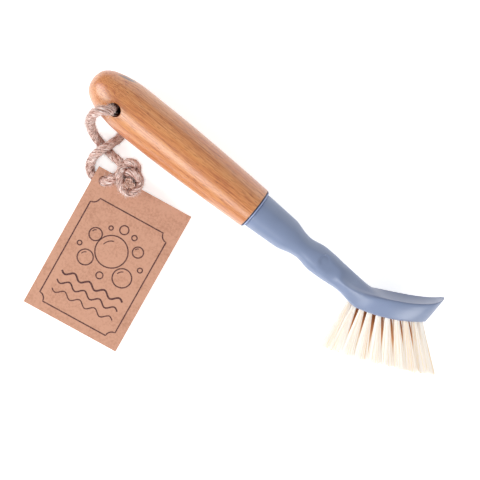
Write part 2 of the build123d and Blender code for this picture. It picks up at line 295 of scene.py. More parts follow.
def ropeMesh(name, path, material, seed, endRounding=0.0):
    # Rings round the path with the outline of three twisted plies, closed at both ends
    radius = cord["diameter"] / 2 * cord["loft"] * mm
    count = cord["around"]
    along = runningLength(path)
    vertices, rings = [], []
    side = Vector((0, 0, 1))
    for i, here in enumerate(path):
        ahead = headingAt(path, i)
        side = (side - ahead * side.dot(ahead)).normalized()
        other = ahead.cross(side)
        lay = along[i] / (cord["plyPitch"] * mm) * 2 * math.pi
        fromEnd = min(along[i], along[-1] - along[i]) / radius
        taper = 1 - endRounding * max(0.0, 1 - fromEnd * 2) ** 2
        points = []
        for angle, cosine, sine in turnsOf(count):
            groove = 1 - abs(math.cos(cord["plies"] / 2 * (angle - lay)))
            way = side * cosine + other * sine
            at = here + way * (radius * (1 - cord["plyDepth"] * groove**1.6) * taper)
            lump = noise.noise(at / (cord["lumpSize"] * mm) + Vector((seed, 0, 0)))
            at = at + way * lump * cord["lumpiness"] * mm
            points.append(Vector((at.x, at.y, max(at.z, cord["floorGap"] * mm))))
        rings.append(addRing(vertices, points))
    faces = skinFaces(rings)
    for ring, here in ((rings[0], path[0]), (rings[-1], path[-1])):
        vertices.append(here)
        faces += fanFaces(ring, len(vertices) - 1)
    piece = addPiece(name, vertices, faces, material)
    # Distance along the cord and angle round it with the lay taken out, so that fibres follow the plies
    uv = piece.data.uv_layers.new(name="fibres")
    for loop in piece.data.loops:
        ringNumber, j = divmod(loop.vertex_index, count)
        s = along[min(ringNumber, len(along) - 1)] / mm
        uv.data[loop.index].uv = (s, j / count - s / cord["plyPitch"])
    return piece


def juteMaterial():
    # Jute, spun and twisted: dull pinkish tan with darker bast fibres between pale ones
    made, tree = newMaterial("jute twine")
    uv = addNode(tree, "ShaderNodeUVMap", uv_map="fibres")
    split = addNode(tree, "ShaderNodeSeparateXYZ", {0: uv})
    angle = addNode(tree, "ShaderNodeMath", {0: split.outputs[1], 1: 2 * math.pi}, operation="MULTIPLY")
    across = addNode(tree, "ShaderNodeMath", {0: angle}, operation="COSINE")
    up = addNode(tree, "ShaderNodeMath", {0: angle}, operation="SINE")
    # Stretched along the cord, because a fibre is much longer than it is wide
    run = addNode(tree, "ShaderNodeMath", {0: split.outputs[0], 1: 0.085}, operation="MULTIPLY")
    wound = addNode(tree, "ShaderNodeCombineXYZ", {0: across, 1: up, 2: run})
    # Fibre bundles about 0.6 mm wide and 3 mm long
    bundles = addNode(
        tree, "ShaderNodeTexNoise", {"Vector": wound, "Scale": 3.4, "Detail": 5.0, "Roughness": 0.68}
    )
    # Dark bits of stalk, about 1 mm by 3 mm
    flecks = addNode(
        tree, "ShaderNodeTexNoise", {"Vector": wound, "Scale": 4.6, "Detail": 2.0, "Distortion": 0.6}
    )
    tone = addNode(
        tree, "ShaderNodeValToRGB", {0: bundles},
        stops=[(0.32, "#94604f"), (0.42, "#d9b0a3"), (0.52, "#fae2da"), (0.64, "#fffaf8")],
    )
    fleckTone = addNode(
        tree, "ShaderNodeValToRGB", {0: flecks}, stops=[(0.37, "#633c33"), (0.45, "#c9a799"), (0.52, "#ffffff")]
    )
    # Painted shade: the colour is painted a warm brown where strands press together and enclose each point
    creaseOcclusion = addNode(tree, "ShaderNodeAmbientOcclusion", {"Distance": 3.0 * mm}, samples=8)
    shade = addNode(
        tree, "ShaderNodeValToRGB", {0: creaseOcclusion.outputs["AO"]},
        stops=[(0.1, "#9c4f38"), (0.45, "#daa48f"), (0.85, "#ffffff")],
    )
    colour = tone
    for share, layer in ((0.85, fleckTone), (1.0, shade)):
        colour = addNode(
            tree, "ShaderNodeMix", {0: share, 6: colour, 7: layer}, data_type="RGBA", blend_type="MULTIPLY"
        )
    bump = addNode(tree, "ShaderNodeBump", {"Strength": 0.8, "Distance": 0.4 * mm, "Height": bundles})
    shader = addNode(
        tree, "ShaderNodeBsdfPrincipled",
        {"Base Color": colour, "Normal": bump, "Roughness": 0.95, "Specular IOR Level": 0.08},
    )
    addNode(tree, "ShaderNodeOutputMaterial", {"Surface": shader})
    return made


def knotPoints(rows):
    # The knot's rows run down, to the left and up as the camera sees them
    turn = math.radians(knot["turn"])
    longWay = Vector((math.cos(turn), math.sin(turn), 0))
    leftWay = Vector((math.sin(turn), -math.cos(turn), 0))
    middle = Vector(knot["middle"])
    return [place(*(middle + longWay * a + leftWay * b + Vector((0, 0, c)))) for a, b, c in rows]


def makeCutEnd(material, faceMaterial):
    # The three plies of the cut end untwist a little and show their darker cores
    path = routePath("cutEndRoute", knotPoints(knot["cutEnd"]), 6)
    ply, tall = knot["cutPly"], len(path)
    radius = cord["diameter"] / 2 * ply["radius"] * mm
    vertices, faces, cores = [], [], []
    for number in range(cord["plies"]):
        rings = []
        for i, here in enumerate(path):
            ahead = headingAt(path, i)
            side = ahead.orthogonal().normalized()
            other = ahead.cross(side)
            opened = 1 + (ply["flare"] - 1) * (i / (tall - 1)) ** 2
            lay = 2 * math.pi * (number / 3 + ply["untwist"] * i / tall)
            middle = here + (side * math.cos(lay) + other * math.sin(lay)) * radius * ply["apart"] * opened
            points = []
            for _, cosine, sine in turnsOf(ply["around"]):
                way = side * cosine + other * sine
                rough = 1 + ply["rough"] * noise.noise(way * 2.3 + Vector((number * 5.0, i * 0.4, 0)))
                points.append(middle + way * radius * opened * rough)
            rings.append(addRing(vertices, points))
        edge = [vertices[at] for at in rings[-1]]
        for inset, drop in knot["cutFace"]:
            points = []
            for rim in edge:
                uneven = noise.noise(rim / (0.7 * mm) + Vector((number * 3.0, inset * 9, 0))) * 0.3
                points.append(middle.lerp(rim, inset) + ahead * (drop + uneven) * mm)
            rings.append(addRing(vertices, points))
        faces += skinFaces(rings)
        cores += [i >= tall for i in range(1, len(rings)) for _ in edge]
        sunk = middle + ahead * knot["cutMiddle"] * mm
        for ring, at, isCore in ((rings[0], path[0], False), (rings[-1], sunk, True)):
            vertices.append(at)
            faces += fanFaces(ring, len(vertices) - 1)
            cores += [isCore] * len(ring)
    piece = addPiece("jute_cut_end", vertices, faces, material)
    piece.data.materials.append(faceMaterial)
    for polygon, isCore in zip(piece.data.polygons, cores):
        polygon.material_index = int(isCore)
    uv = piece.data.uv_layers.new(name="fibres")
    for loop in piece.data.loops:
        at = piece.data.vertices[loop.vertex_index].co / mm
        uv.data[loop.index].uv = (at.z, at.x / 15 + at.y / 15)
    return piece


jute = juteMaterial()
# Cut jute fibres seen end on: tan with dark hollow cores about 0.8 mm apart
cutJute = speckledMaterial(
    "cut jute ends", {"Scale": 1250.0},
    [(0.12, "#4a1f1c"), (0.32, "#9c6552"), (0.55, "#cfa18c"), (0.85, "#f0d8cf")],
    {"Roughness": 0.95, "Specular IOR Level": 0.2}, "ShaderNodeTexVoronoi",
)
cordPath = routePath("cordRoute", [place(*at) for at in cord["route"]], 12)
hangCord = ropeMesh("jute_cord", cordPath, jute, 3.0)
knotParts = [
    ropeMesh(f"jute_knot_{part}", routePath(part, knotPoints(knot[part]), 10), jute, 11.0 + i, knot["endRounding"])
    for i, part in enumerate(("wrap", "lobe", "tuck"))
]
knotEnd = makeCutEnd(jute, cutJute)


# Loose fibres on the cord and the knot

fuzz = {
    "perSquareMm": 1.9,
    "length": (0.5, 2.1),
    "radius": 0.036,
    "lean": 1.15,
    "bend": 0.5,
    "floorGap": 0.1,
    "seed": 5,
    # The cord is worn smooth where it goes through the wood: the hole's two mouths and how near
    "bare": ((-97.0, -5.2, 29.4), (-97.0, 4.0, 8.0), 4.6),
}


def newTree(name, inputs):
    # A node tree with named inputs, and the sockets that bring them in
    tree = bpy.data.node_groups.new(name, "GeometryNodeTree")
    for title, kind in {"Geometry": "Geometry", **inputs}.items():
        tree.interface.new_socket(title, in_out="INPUT", socket_type="NodeSocket" + kind)
    tree.interface.new_socket("Geometry", in_out="OUTPUT", socket_type="NodeSocketGeometry")
    return tree, addNode(tree, "NodeGroupInput").outputs


def plantStrands(tree, points, strand, way, size, bendName, lowest, material):
    # Stands a strand on every point, bends it by the square of its height, keeps it above the
    # table and paints it
    level = addNode(tree, "ShaderNodeSeparateXYZ", {0: addNode(tree, "GeometryNodeInputPosition")})
    marked = addNode(
        tree, "GeometryNodeStoreNamedAttribute", {"Geometry": strand, "Name": "height", "Value": level.outputs[2]},
        data_type="FLOAT",
    )
    aim = addNode(tree, "FunctionNodeAlignRotationToVector", {"Vector": way}, axis="Z")
    planted = addNode(
        tree, "GeometryNodeInstanceOnPoints",
        {"Points": points, "Instance": marked, "Rotation": aim, "Scale": size},
    )
    real = addNode(tree, "GeometryNodeRealizeInstances", {"Geometry": planted})
    height = addNode(tree, "GeometryNodeInputNamedAttribute", {"Name": "height"}, data_type="FLOAT")
    bend = addNode(tree, "GeometryNodeInputNamedAttribute", {"Name": bendName}, data_type="FLOAT_VECTOR")
    squared = addNode(tree, "ShaderNodeMath", {0: height, 1: 2.0}, operation="POWER")
    pushed = addNode(tree, "ShaderNodeVectorMath", {0: bend, "Scale": squared}, operation="SCALE")
    bent = addNode(tree, "GeometryNodeSetPosition", {"Geometry": real, "Offset": pushed})
    here = addNode(tree, "ShaderNodeSeparateXYZ", {0: addNode(tree, "GeometryNodeInputPosition")})
    lifted = addNode(tree, "ShaderNodeMath", {0: here.outputs[2], 1: lowest}, operation="MAXIMUM")
    above = addNode(tree, "ShaderNodeCombineXYZ", {0: here.outputs[0], 1: here.outputs[1], 2: lifted})
    laid = addNode(tree, "GeometryNodeSetPosition", {"Geometry": bent, "Position": above})
    painted = addNode(tree, "GeometryNodeSetMaterial", {"Geometry": laid, "Material": material})
    addNode(tree, "NodeGroupOutput", {0: painted})


def fuzzTree():
    # Scatters short bent hairs over a rope's surface
    tree, given = newTree("looseFibres", {
        "Density": "Float", "Shortest": "Float", "Longest": "Float", "Hair radius": "Float",
        "Lean": "Float", "Bend": "Float", "Seed": "Int", "Material": "Material",
    })
    points = addNode(
        tree, "GeometryNodeDistributePointsOnFaces",
        {"Mesh": given["Geometry"], "Density": given["Density"], "Seed": given["Seed"]},
    )
    stray = addNode(
        tree, "FunctionNodeRandomValue", {0: (-1, -1, -1), 1: (1, 1, 1), "Seed": 12}, data_type="FLOAT_VECTOR"
    )
    leaned = addNode(tree, "ShaderNodeVectorMath", {0: stray, "Scale": given["Lean"]}, operation="SCALE")
    way = addNode(tree, "ShaderNodeVectorMath", {0: points.outputs["Normal"], 1: leaned})
    long = addNode(
        tree, "FunctionNodeRandomValue", {2: given["Shortest"], 3: given["Longest"], "Seed": 21}
    )
    size = addNode(tree, "ShaderNodeCombineXYZ", {0: given["Hair radius"], 1: given["Hair radius"], 2: long})
    hair = addNode(
        tree, "GeometryNodeMeshCylinder", {"Vertices": 3, "Side Segments": 3, "Radius": 1.0, "Depth": 1.0},
        fill_type="NONE",
    )
    stood = addNode(tree, "GeometryNodeTransform", {"Geometry": hair, "Translation": (0, 0, 0.5)})
    curl = addNode(
        tree, "FunctionNodeRandomValue", {0: (-1, -1, -1), 1: (1, 1, 0.3), "Seed": 33}, data_type="FLOAT_VECTOR"
    )
    for scale in (long, given["Bend"]):
        curl = addNode(tree, "ShaderNodeVectorMath", {0: curl, "Scale": scale}, operation="SCALE")
    kept = addNode(
        tree, "GeometryNodeStoreNamedAttribute", {"Geometry": points, "Name": "curl", "Value": curl},
        data_type="FLOAT_VECTOR",
    )
    plantStrands(tree, kept, stood, way, size, "curl", fuzz["floorGap"] * mm, given["Material"])
    return tree


def treeResult(piece, tree, values):
    # The piece's mesh becomes what the node tree makes of it with the given named inputs
    modifier = piece.modifiers.new("nodes", "NODES")
    modifier.node_group = tree
    for item in tree.interface.items_tree:
        if item.in_out == "INPUT" and item.name in values:
            modifier[item.identifier] = values[item.name]
    plain = bpy.data.meshes.new_from_object(piece.evaluated_get(bpy.context.evaluated_depsgraph_get()))
    piece.modifiers.clear()
    piece.data = plain
    kept = ("height", "inner", "tone", "position", "sharp_face", "material_index")
    for name in [attribute.name for attribute in plain.attributes]:
        if name not in kept and not name.startswith("."):
            plain.attributes.remove(plain.attributes[name])


def makeFuzz(material):
    work = bmesh.new()
    for rope in (hangCord, *knotParts, knotEnd):
        work.from_mesh(rope.data)
    begin, end, reach = place(*fuzz["bare"][0]), place(*fuzz["bare"][1]), fuzz["bare"][2] * mm
    bare = []
    for face in work.faces:
        middle = face.calc_center_median()
        nearest, share = geometry.intersect_point_line(middle, begin, end)
        if 0 < share < 1 and (middle - nearest).length < reach:
            bare.append(face)
    bmesh.ops.delete(work, geom=bare, context="FACES")
    mesh = bpy.data.meshes.new("jute_fibres")
    work.to_mesh(mesh)
    work.free()
    piece = addObject("jute_fibres", mesh)
    treeResult(piece, fuzzTree(), {
        "Density": fuzz["perSquareMm"] / mm**2,
        "Shortest": fuzz["length"][0] * mm,
        "Longest": fuzz["length"][1] * mm,
        "Hair radius": fuzz["radius"] * mm,
        "Lean": fuzz["lean"],
        "Bend": fuzz["bend"],
        "Seed": fuzz["seed"],
        "Material": material,
    })
    return piece


# Single jute fibres: pale and dry
looseJute = speckledMaterial(
    "loose jute fibre", {"Scale": 400.0}, [(0.35, "#d2b3a6"), (0.6, "#f7ebe6")], {"Roughness": 0.9}
)
juteFibres = makeFuzz(looseJute)
print("cord and knot made")


# Bamboo handle

handle = {
    "length": 117.0,
    "width": 31.0,
    "thickness": 25.4,
    "collar": 25.2,
    "twist": 23.0,
    "edgeRounding": 0.5,
    # The patch round the hole is square on the grid, and the oval's outline has a mean radius of 14.6 mm there
    "hole": {
        "diameter": 8.1, "fromTail": 20.0, "aside": -0.8, "rounding": 0.5, "patch": 7.6, "ovalRadius": 14.6,
        "wallSteps": 8,
    },
    "bore": {"face": 10.5, "radius": 8.55, "depth": 30.4},
    "mark": {"at": (-101.6, 13.3, 23.8), "turn": 14.0, "size": (8.2, 0.95, 4.2), "colour": "#1e0d16"},
    "around": 120,
    "spacing": 0.8,
    # Place along the handle, growth from the collar's circle to the full oval, what is left of it,
    # and how far the tail bends, as a share of the width
    "sections": [
        (0.0, 0.0, 1.0, 0.0), (0.15, 0.37, 1.0, 0.0), (0.33, 0.73, 1.0, 0.0), (0.51, 0.96, 1.0, 0.0),
        (0.66, 1.0, 1.0, 0.0), (0.79, 1.0, 0.985, 0.006), (0.865, 1.0, 0.9, 0.014), (0.93, 1.0, 0.75, 0.023),
        (0.965, 1.0, 0.595, 0.028), (0.985, 1.0, 0.435, 0.031), (0.9965, 1.0, 0.22, 0.032),
        (1.0, 1.0, 0.0, 0.032),
    ],
}


def handlePoint(x, w, h, bend=0.0):
    # w runs along the oval's long axis and h along its short one, which the hang hole follows
    twist = math.radians(handle["twist"])
    y = bend + w * math.cos(twist) - h * math.sin(twist)
    z = w * math.sin(twist) + h * math.cos(twist)
    return place(x, y, axisHeight + z)


def handleRows():
    # x, half width, half thickness and bend from the collar to the tail
    rows = []
    for at, growth, left, bend in handle["sections"]:
        half = handle["collar"] / 2
        wide = (half + growth * (handle["width"] / 2 - half)) * left
        thick = (half + growth * (handle["thickness"] / 2 - half)) * left
        rows.append((-at * handle["length"], wide, thick, bend * handle["width"]))
    # One mirrored row past the tail keeps the nose round
    rows.append((rows[-2][0], -rows[-2][1], -rows[-2][2], rows[-2][3]))
    made = curveThrough(rows, runningLength([row[:2] for row in rows]), handle["spacing"])
    return [row for row in made if row[1] > 0.3]


def makeHandle(material, holeShadeMaterial):
    rows = handleRows()
    count, hole, bore = handle["around"], handle["hole"], handle["bore"]
    patch = round(math.asin(hole["patch"] / hole["ovalRadius"]) / (2 * math.pi) * count)
    holeX = hole["fromTail"] - handle["length"]
    vertices, faces = [], []

    def sizeAt(x):
        for before, after in zip(rows, rows[1:]):
            if after[0] <= x <= before[0]:
                t = (x - before[0]) / (after[0] - before[0])
                return [a + (b - a) * t for a, b in zip(before[1:], after[1:])]
        return rows[0][1:]

    def ovalRing(x, wide, thick, bend=0.0):
        points = [handlePoint(x, wide * sine, thick * cosine, bend) for _, cosine, sine in turnsOf(count)]
        return addRing(vertices, points)

    def nearestRow(x):
        return min(range(len(skin)), key=lambda i: abs(skin[i][0] - x))

    collar = quarterRound(handle["edgeRounding"], 3)
    _, wide, thick, _ = rows[0]
    skin = [(-back, wide - inset, thick - inset, 0.0) for back, inset in collar[::-1]]
    skin += [row for row in rows if row[0] < -handle["edgeRounding"] - 0.2]
    grid = [ovalRing(*row) for row in skin]
    first, last = nearestRow(holeX + hole["patch"]), nearestRow(holeX - hole["patch"])
    half = count // 2
    cut = {(start + column) % count for start in (0, half) for column in range(-patch, patch)}
    for i, (before, after) in enumerate(zip(grid, grid[1:])):
        band = bandFaces(before, after)
        if first <= i < last:
            band = [quad for j, quad in enumerate(band) if j not in cut]
        faces += band
    # Both mouths of the hang hole: a patch from the grid to a circle, a rounded lip, and the wall
    around = [(first, c) for c in range(-patch, patch)]
    around += [(i, patch) for i in range(first, last)]
    around += [(last, c) for c in range(patch, -patch, -1)]
    around += [(i, -patch) for i in range(last, first, -1)]
    lip, wallRadius = hole["rounding"], hole["diameter"] / 2
    profile = [(share, wallRadius + lip, 0.0) for share in (0.2, 0.4, 0.6, 0.8)]
    profile += [(1.0, wallRadius + back, drop) for back, drop in quarterRound(lip, 5)]
    walls, holeShadeFaces = [], []
    for side in (1, -1):
        loop, spots = [], []
        for i, c in around:
            column = c % count if side > 0 else (half - c) % count
            x, wide, _, _ = skin[i]
            loop.append(grid[i][column])
            spots.append((x - holeX, wide * math.sin(2 * math.pi * column / count) - hole["aside"]))
        rings = [loop]
        for share, reach, drop in profile:
            points = []
            for dx, w in spots:
                angle = math.atan2(w, dx)
                x = dx + (reach * math.cos(angle) - dx) * share
                across = w + (reach * math.sin(angle) - w) * share + hole["aside"]
                wide, thick, bend = sizeAt(holeX + x)
                h = thick * math.sqrt(max(0.0, 1 - (across / wide) ** 2)) - drop
                points.append(handlePoint(holeX + x, across, side * h, bend))
            rings.append(addRing(vertices, points))
        faces += skinFaces(rings)
        holeShadeFaces.append((len(faces) - 2 * len(loop), len(faces)))
        walls.append(rings[-1])
    top, bottom = walls
    wall = [top]
    for step in range(1, hole["wallSteps"]):
        share = step / hole["wallSteps"]
        wall.append(addRing(vertices, [vertices[a].lerp(vertices[b], share) for a, b in zip(top, bottom)]))
    wallFaces = skinFaces([*wall, bottom])
    holeShadeFaces.append((len(faces), len(faces) + len(wallFaces)))
    faces += wallFaces
    # Tail pole, then the front end and the blind bore
    vertices.append(handlePoint(-handle["length"], 0, 0, rows[-1][3]))
    faces += fanFaces(grid[-1], len(vertices) - 1)
    front = [grid[0]]
    for x, radius in ((0, bore["face"]), (0, bore["radius"]), (-10, bore["radius"]), (-20, bore["radius"]),
                      (-bore["depth"], bore["radius"]), (-bore["depth"], bore["radius"] / 2)):
        front.append(ovalRing(x, radius, radius))
    faces += skinFaces(front)
    vertices.append(handlePoint(-bore["depth"], 0, 0))
    faces += fanFaces(front[-1], len(vertices) - 1)
    piece = addPiece("bamboo_handle", vertices, faces, material)
    piece.data.materials.append(holeShadeMaterial)
    # Painted shade: the inner edge of each mouth and the hole's wall take the dark bamboo
    for begin, end in holeShadeFaces:
        for polygon in piece.data.polygons[begin:end]:
            polygon.material_index = 1
    piece.data.set_sharp_from_angle(angle=math.radians(50))
    return piece


def bambooMaterial():
    # Bamboo, turned, sanded and oiled: honey orange with long fine fibre lines under a soft gloss
    made, tree = newMaterial("oiled bamboo")
    where = addNode(tree, "ShaderNodeTexCoord").outputs["Object"]
    # Fibre lines about 0.5 mm wide and 20 mm long
    fine = addNode(tree, "ShaderNodeMapping", {"Vector": where, "Scale": (50.0, 1600.0, 1600.0)})
    fibres = addNode(tree, "ShaderNodeTexNoise", {"Vector": fine, "Scale": 1.0, "Detail": 4.0, "Roughness": 0.7})
    # Deeper orange streaks about 6 mm wide and 70 mm long
    broad = addNode(
        tree, "ShaderNodeMapping", {"Vector": where, "Location": (0.3, 0.0, 0.0), "Scale": (14.0, 150.0, 150.0)}
    )
    streaks = addNode(
        tree, "ShaderNodeTexNoise", {"Vector": broad, "Scale": 1.0, "Detail": 3.0, "Roughness": 0.5}
    )
    # Short pores of the bundles cut through, about 0.4 mm by 5 mm
    cut = addNode(tree, "ShaderNodeMapping", {"Vector": where, "Scale": (200.0, 2400.0, 2400.0)})
    pores = addNode(tree, "ShaderNodeTexNoise", {"Vector": cut, "Scale": 1.0, "Detail": 1.0})
    base = addNode(
        tree, "ShaderNodeValToRGB", {0: streaks},
        stops=[(0.3, "#dc8641"), (0.46, "#e2964f"), (0.6, "#e7a05e"), (0.75, "#ecad70")],
    )
    lines = addNode(
        tree, "ShaderNodeValToRGB", {0: fibres}, stops=[(0.32, "#b57c54"), (0.45, "#e4c6ae"), (0.6, "#ffffff")]
    )
    poreTone = addNode(tree, "ShaderNodeValToRGB", {0: pores}, stops=[(0.3, "#b98a6c"), (0.4, "#ffffff")])
    colour = base
    for share, layer in ((0.85, lines), (0.75, poreTone)):
        colour = addNode(
            tree, "ShaderNodeMix", {0: share, 6: colour, 7: layer}, data_type="RGBA", blend_type="MULTIPLY"
        )
    # A dark bruise near the tail
    bruise = handle["mark"]
    nearMark = addNode(
        tree, "ShaderNodeMapping",
        {"Vector": where, "Location": place(*bruise["at"]), "Rotation": (0, 0, math.radians(bruise["turn"])),
         "Scale": [size * mm for size in bruise["size"]]},
        vector_type="TEXTURE",
    )
    away = addNode(tree, "ShaderNodeVectorMath", {0: nearMark}, operation="LENGTH")
    mark = addNode(
        tree, "ShaderNodeMapRange", {0: away, 1: 0.3, 2: 1.0, 3: 0.9, 4: 0.0}, interpolation_type="SMOOTHSTEP"
    )
    marked = addNode(
        tree, "ShaderNodeMix", {0: mark, 6: colour, 7: linearColour(bruise["colour"])}, data_type="RGBA"
    )
    bump = addNode(tree, "ShaderNodeBump", {"Strength": 0.2, "Distance": 0.06 * mm, "Height": fibres})
    shader = addNode(tree, "ShaderNodeBsdfPrincipled", {
        "Base Color": marked, "Normal": bump, "Roughness": 0.42, "IOR": 1.5,
        "Coat Normal": bump, "Coat Weight": 1.0, "Coat Roughness": 0.27, "Coat IOR": 1.8,
        "Sheen Weight": 0.2, "Sheen Roughness": 0.45, "Sheen Tint": linearColour("#ffdfe6"),
    })
    addNode(tree, "ShaderNodeOutputMaterial", {"Surface": shader})
    return made


# Bamboo end grain in the hang hole, painted dark brown as shade for the shadow inside the hole: dry, with open
# pores about 0.4 mm apart
holeShadeBamboo = speckledMaterial(
    "bamboo with painted hole shade", {"Scale": 2400.0, "Detail": 2.0}, [(0.35, "#351510"), (0.7, "#642f20")],
    {"Roughness": 0.9, "Specular IOR Level": 0.1},
)
bambooHandle = makeHandle(bambooMaterial(), holeShadeBamboo)

# A thin dark ring between the bamboo and the socket's flange, painted shade for the gap there: place and radius,
# in mm
seam = {
    "around": 96,
    "profile": [(-0.4, 11.4), (-0.28, 12.38), (0.0, 12.46), (0.42, 12.38), (0.68, 12.1), (0.68, 11.4)],
}


def makeSeam(material):
    vertices = []
    rings = [
        addRing(vertices, [
            place(x, radius * sine, axisHeight + radius * cosine) for _, cosine, sine in turnsOf(seam["around"])
        ])
        for x, radius in seam["profile"]
    ]
    return addPiece("seam_shade", vertices, skinFaces(rings + rings[:1]), material)


# Painted shade for the gap between bamboo and flange: nearly black and dull
seamShadeMaterial = speckledMaterial(
    "painted seam shade", {"Scale": 1200.0}, [(0.35, "#1f2236"), (0.65, "#313650")], {"Roughness": 0.55}
)
seamShade = makeSeam(seamShadeMaterial)
print("handle made")


# Plastic head, neck and plug

head = {
    "neckStart": 2.25,
    "neckLength": 57.2,
    "baseWidth": 21.8,
    "length": 56.9,
    "lift": 27.8,
    "rimHalf": 18.6,
    "faceHalf": 14.5,
    "sideBulge": 0.035,
    "round": 0.5523,
    "spacing": 0.45,
    "points": (24, 18, 11),
    "smoothing": (3, 14, 7),  # rounds everywhere, rounds on the rim, and how many points the rim takes
    "edgeRounding": 0.5,
    "plug": {"radius": 6.84, "length": 26.0, "chamfer": 1.0, "seat": 1.45, "grooveRadius": 10.3, "groove": 0.4},
    "hollow": {"middle": (51.0, 1.0), "before": 5.4, "after": 17.0, "across": 5.6, "depth": 0.95},
    # Painted shade on the dished back: where it starts, in m along the frame, what faces this far to the back, and
    # its darker colour
    "backShade": {"start": (0.06, 0.072), "facing": (0.3, 0.8), "colour": "#52648f"},
    # Place along the neck, half height and half breadth as shares of the base width
    "neckSections": [
        (0.0, 0.5, 0.5), (0.138, 0.479, 0.482), (0.268, 0.459, 0.468), (0.38, 0.436, 0.453),
        (0.444, 0.393, 0.43), (0.506, 0.346, 0.405), (0.58, 0.317, 0.388), (0.632, 0.326, 0.386),
        (0.695, 0.358, 0.388), (0.755, 0.38, 0.388), (0.83, 0.376, 0.383), (0.91, 0.366, 0.374),
    ],
    # Place along the head, rim height and half width, back height, scoop, face edge height and
    # half width, face middle height
    "headSections": [
        (0.0, 0.0, 0.41, 0.268, 0.0, -0.19, 0.36, -0.266),
        (0.08, -0.022, 0.468, 0.259, 0.5, -0.197, 0.375, -0.25),
        (0.168, -0.007, 0.585, 0.246, 0.9, -0.216, 0.46, -0.254),
        (0.256, 0.05, 0.76, 0.233, 1.0, -0.25, 0.655, -0.283),
        (0.343, 0.125, 0.91, 0.226, 0.9, -0.25, 0.83, -0.287),
        (0.431, 0.216, 0.985, 0.24, 0.7, -0.198, 0.94, -0.224),
        (0.536, 0.329, 1.0, 0.288, 0.45, -0.123, 0.99, -0.146),
        (0.641, 0.444, 0.985, 0.374, 0.35, -0.031, 1.0, -0.054),
        (0.747, 0.566, 0.93, 0.49, 0.3, 0.078, 0.96, 0.058),
        (0.834, 0.68, 0.85, 0.607, 0.3, 0.179, 0.865, 0.162),
        (0.904, 0.785, 0.745, 0.72, 0.3, 0.267, 0.735, 0.253),
        (0.957, 0.885, 0.605, 0.833, 0.3, 0.338, 0.565, 0.327),
        (0.985, 0.955, 0.44, 0.92, 0.3, 0.37, 0.39, 0.364),
        (0.996, 0.985, 0.27, 0.96, 0.3, 0.38, 0.22, 0.376),
        (1.0, 1.0, 0.11, 0.975, 0.3, 0.383, 0.08, 0.38),
    ],
}


def headRows():
    # x, then the rim, the two pulls of the back's curve, its middle, the side's middle, the face's
    # edge and the face's middle, as heights and half widths
    rows = []
    pull = head["round"]
    eighth, sixteenth = math.radians(45), math.radians(22.5)
    for at, high, broad in head["neckSections"]:
        h, b = high * head["baseWidth"], broad * head["baseWidth"]
        rows.append((
            head["neckStart"] + at * head["neckLength"], 0, b, h * pull, b, h, b * pull, h,
            -h * math.sin(sixteenth), b * math.cos(sixteenth), -h * math.sin(eighth), b * math.cos(eighth), -h,
        ))
    for at, rimY, rimZ, backY, scoop, faceY, faceZ, bellyY in head["headSections"]:
        rimY, backY, faceY, bellyY = [value * head["lift"] for value in (rimY, backY, faceY, bellyY)]
        rimZ, faceZ = rimZ * head["rimHalf"], faceZ * head["faceHalf"]
        bulge = head["sideBulge"] * (rimY - faceY)
        rows.append((
            head["neckStart"] + head["neckLength"] + at * head["length"], rimY, rimZ,
            rimY + (1 - scoop) * pull * (backY - rimY), rimZ * (1 - scoop * pull), backY, rimZ * pull, backY,
            (rimY + faceY) / 2 - bulge, (rimZ + faceZ) / 2 + bulge, faceY, faceZ, bellyY,
        ))
    return rows


def arcPoints(start, middle, end, count):
    # Points on the circle through three points, without the start
    (ax, ay), (bx, by), (cx, cy) = start, middle, end
    spread = 2 * (ax * (by - cy) + bx * (cy - ay) + cx * (ay - by))
    if abs(spread) < 1e-6:
        return [(ax + (cx - ax) * i / count, ay + (cy - ay) * i / count) for i in range(1, count + 1)]
    a, b, c = ax**2 + ay**2, bx**2 + by**2, cx**2 + cy**2
    ux = (a * (by - cy) + b * (cy - ay) + c * (ay - by)) / spread
    uy = (a * (cx - bx) + b * (ax - cx) + c * (bx - ax)) / spread
    radius = math.dist((ux, uy), start)
    first = math.atan2(ay - uy, ax - ux)
    halfway = math.remainder(math.atan2(by - uy, bx - ux) - first, 2 * math.pi)
    whole = math.remainder(math.atan2(cy - uy, cx - ux) - first, 2 * math.pi)
    if whole * halfway < 0:
        whole += math.copysign(2 * math.pi, halfway)
    angles = [first + whole * i / count for i in range(1, count + 1)]
    return [(ux + radius * math.cos(angle), uy + radius * math.sin(angle)) for angle in angles]


def headOutline(row):
    # One closed outline as (height, half width), from the back's middle round to it again
    _, rimY, rimZ, uprightY, uprightZ, levelY, levelZ, crownY, sideY, sideZ, faceY, faceZ, bellyY = row
    overBack, overSide, overFace = head["points"]
    half = []
    for i in range(overBack + 1):
        t = i / overBack
        weights = ((1 - t) ** 3, 3 * t * (1 - t) ** 2, 3 * t * t * (1 - t), t**3)
        half.append((
            sum(a * b for a, b in zip(weights, (crownY, levelY, uprightY, rimY))),
            sum(a * b for a, b in zip(weights, (0, levelZ, uprightZ, rimZ))),
        ))
    half += arcPoints((rimY, rimZ), (sideY, sideZ), (faceY, faceZ), overSide)
    half += arcPoints((faceY, faceZ), (bellyY, 0), (faceY, -faceZ), 2 * overFace)[:overFace]
    ring = half + [(y, -z) for y, z in half[-2:0:-1]]
    # Moulded edges are a little round, and the rim is round enough to catch the light
    everywhere, onRim, rimPoints = head["smoothing"]
    for step in range(onRim):
        ring = [
            tuple(0.5 * b + 0.25 * (a + c) for a, b, c in zip(ring[i - 1], ring[i], ring[(i + 1) % len(ring)]))
            if step < everywhere or min(abs(i - overBack), abs(len(ring) - i - overBack)) < rimPoints
            else ring[i]
            for i in range(len(ring))
        ]
    return ring


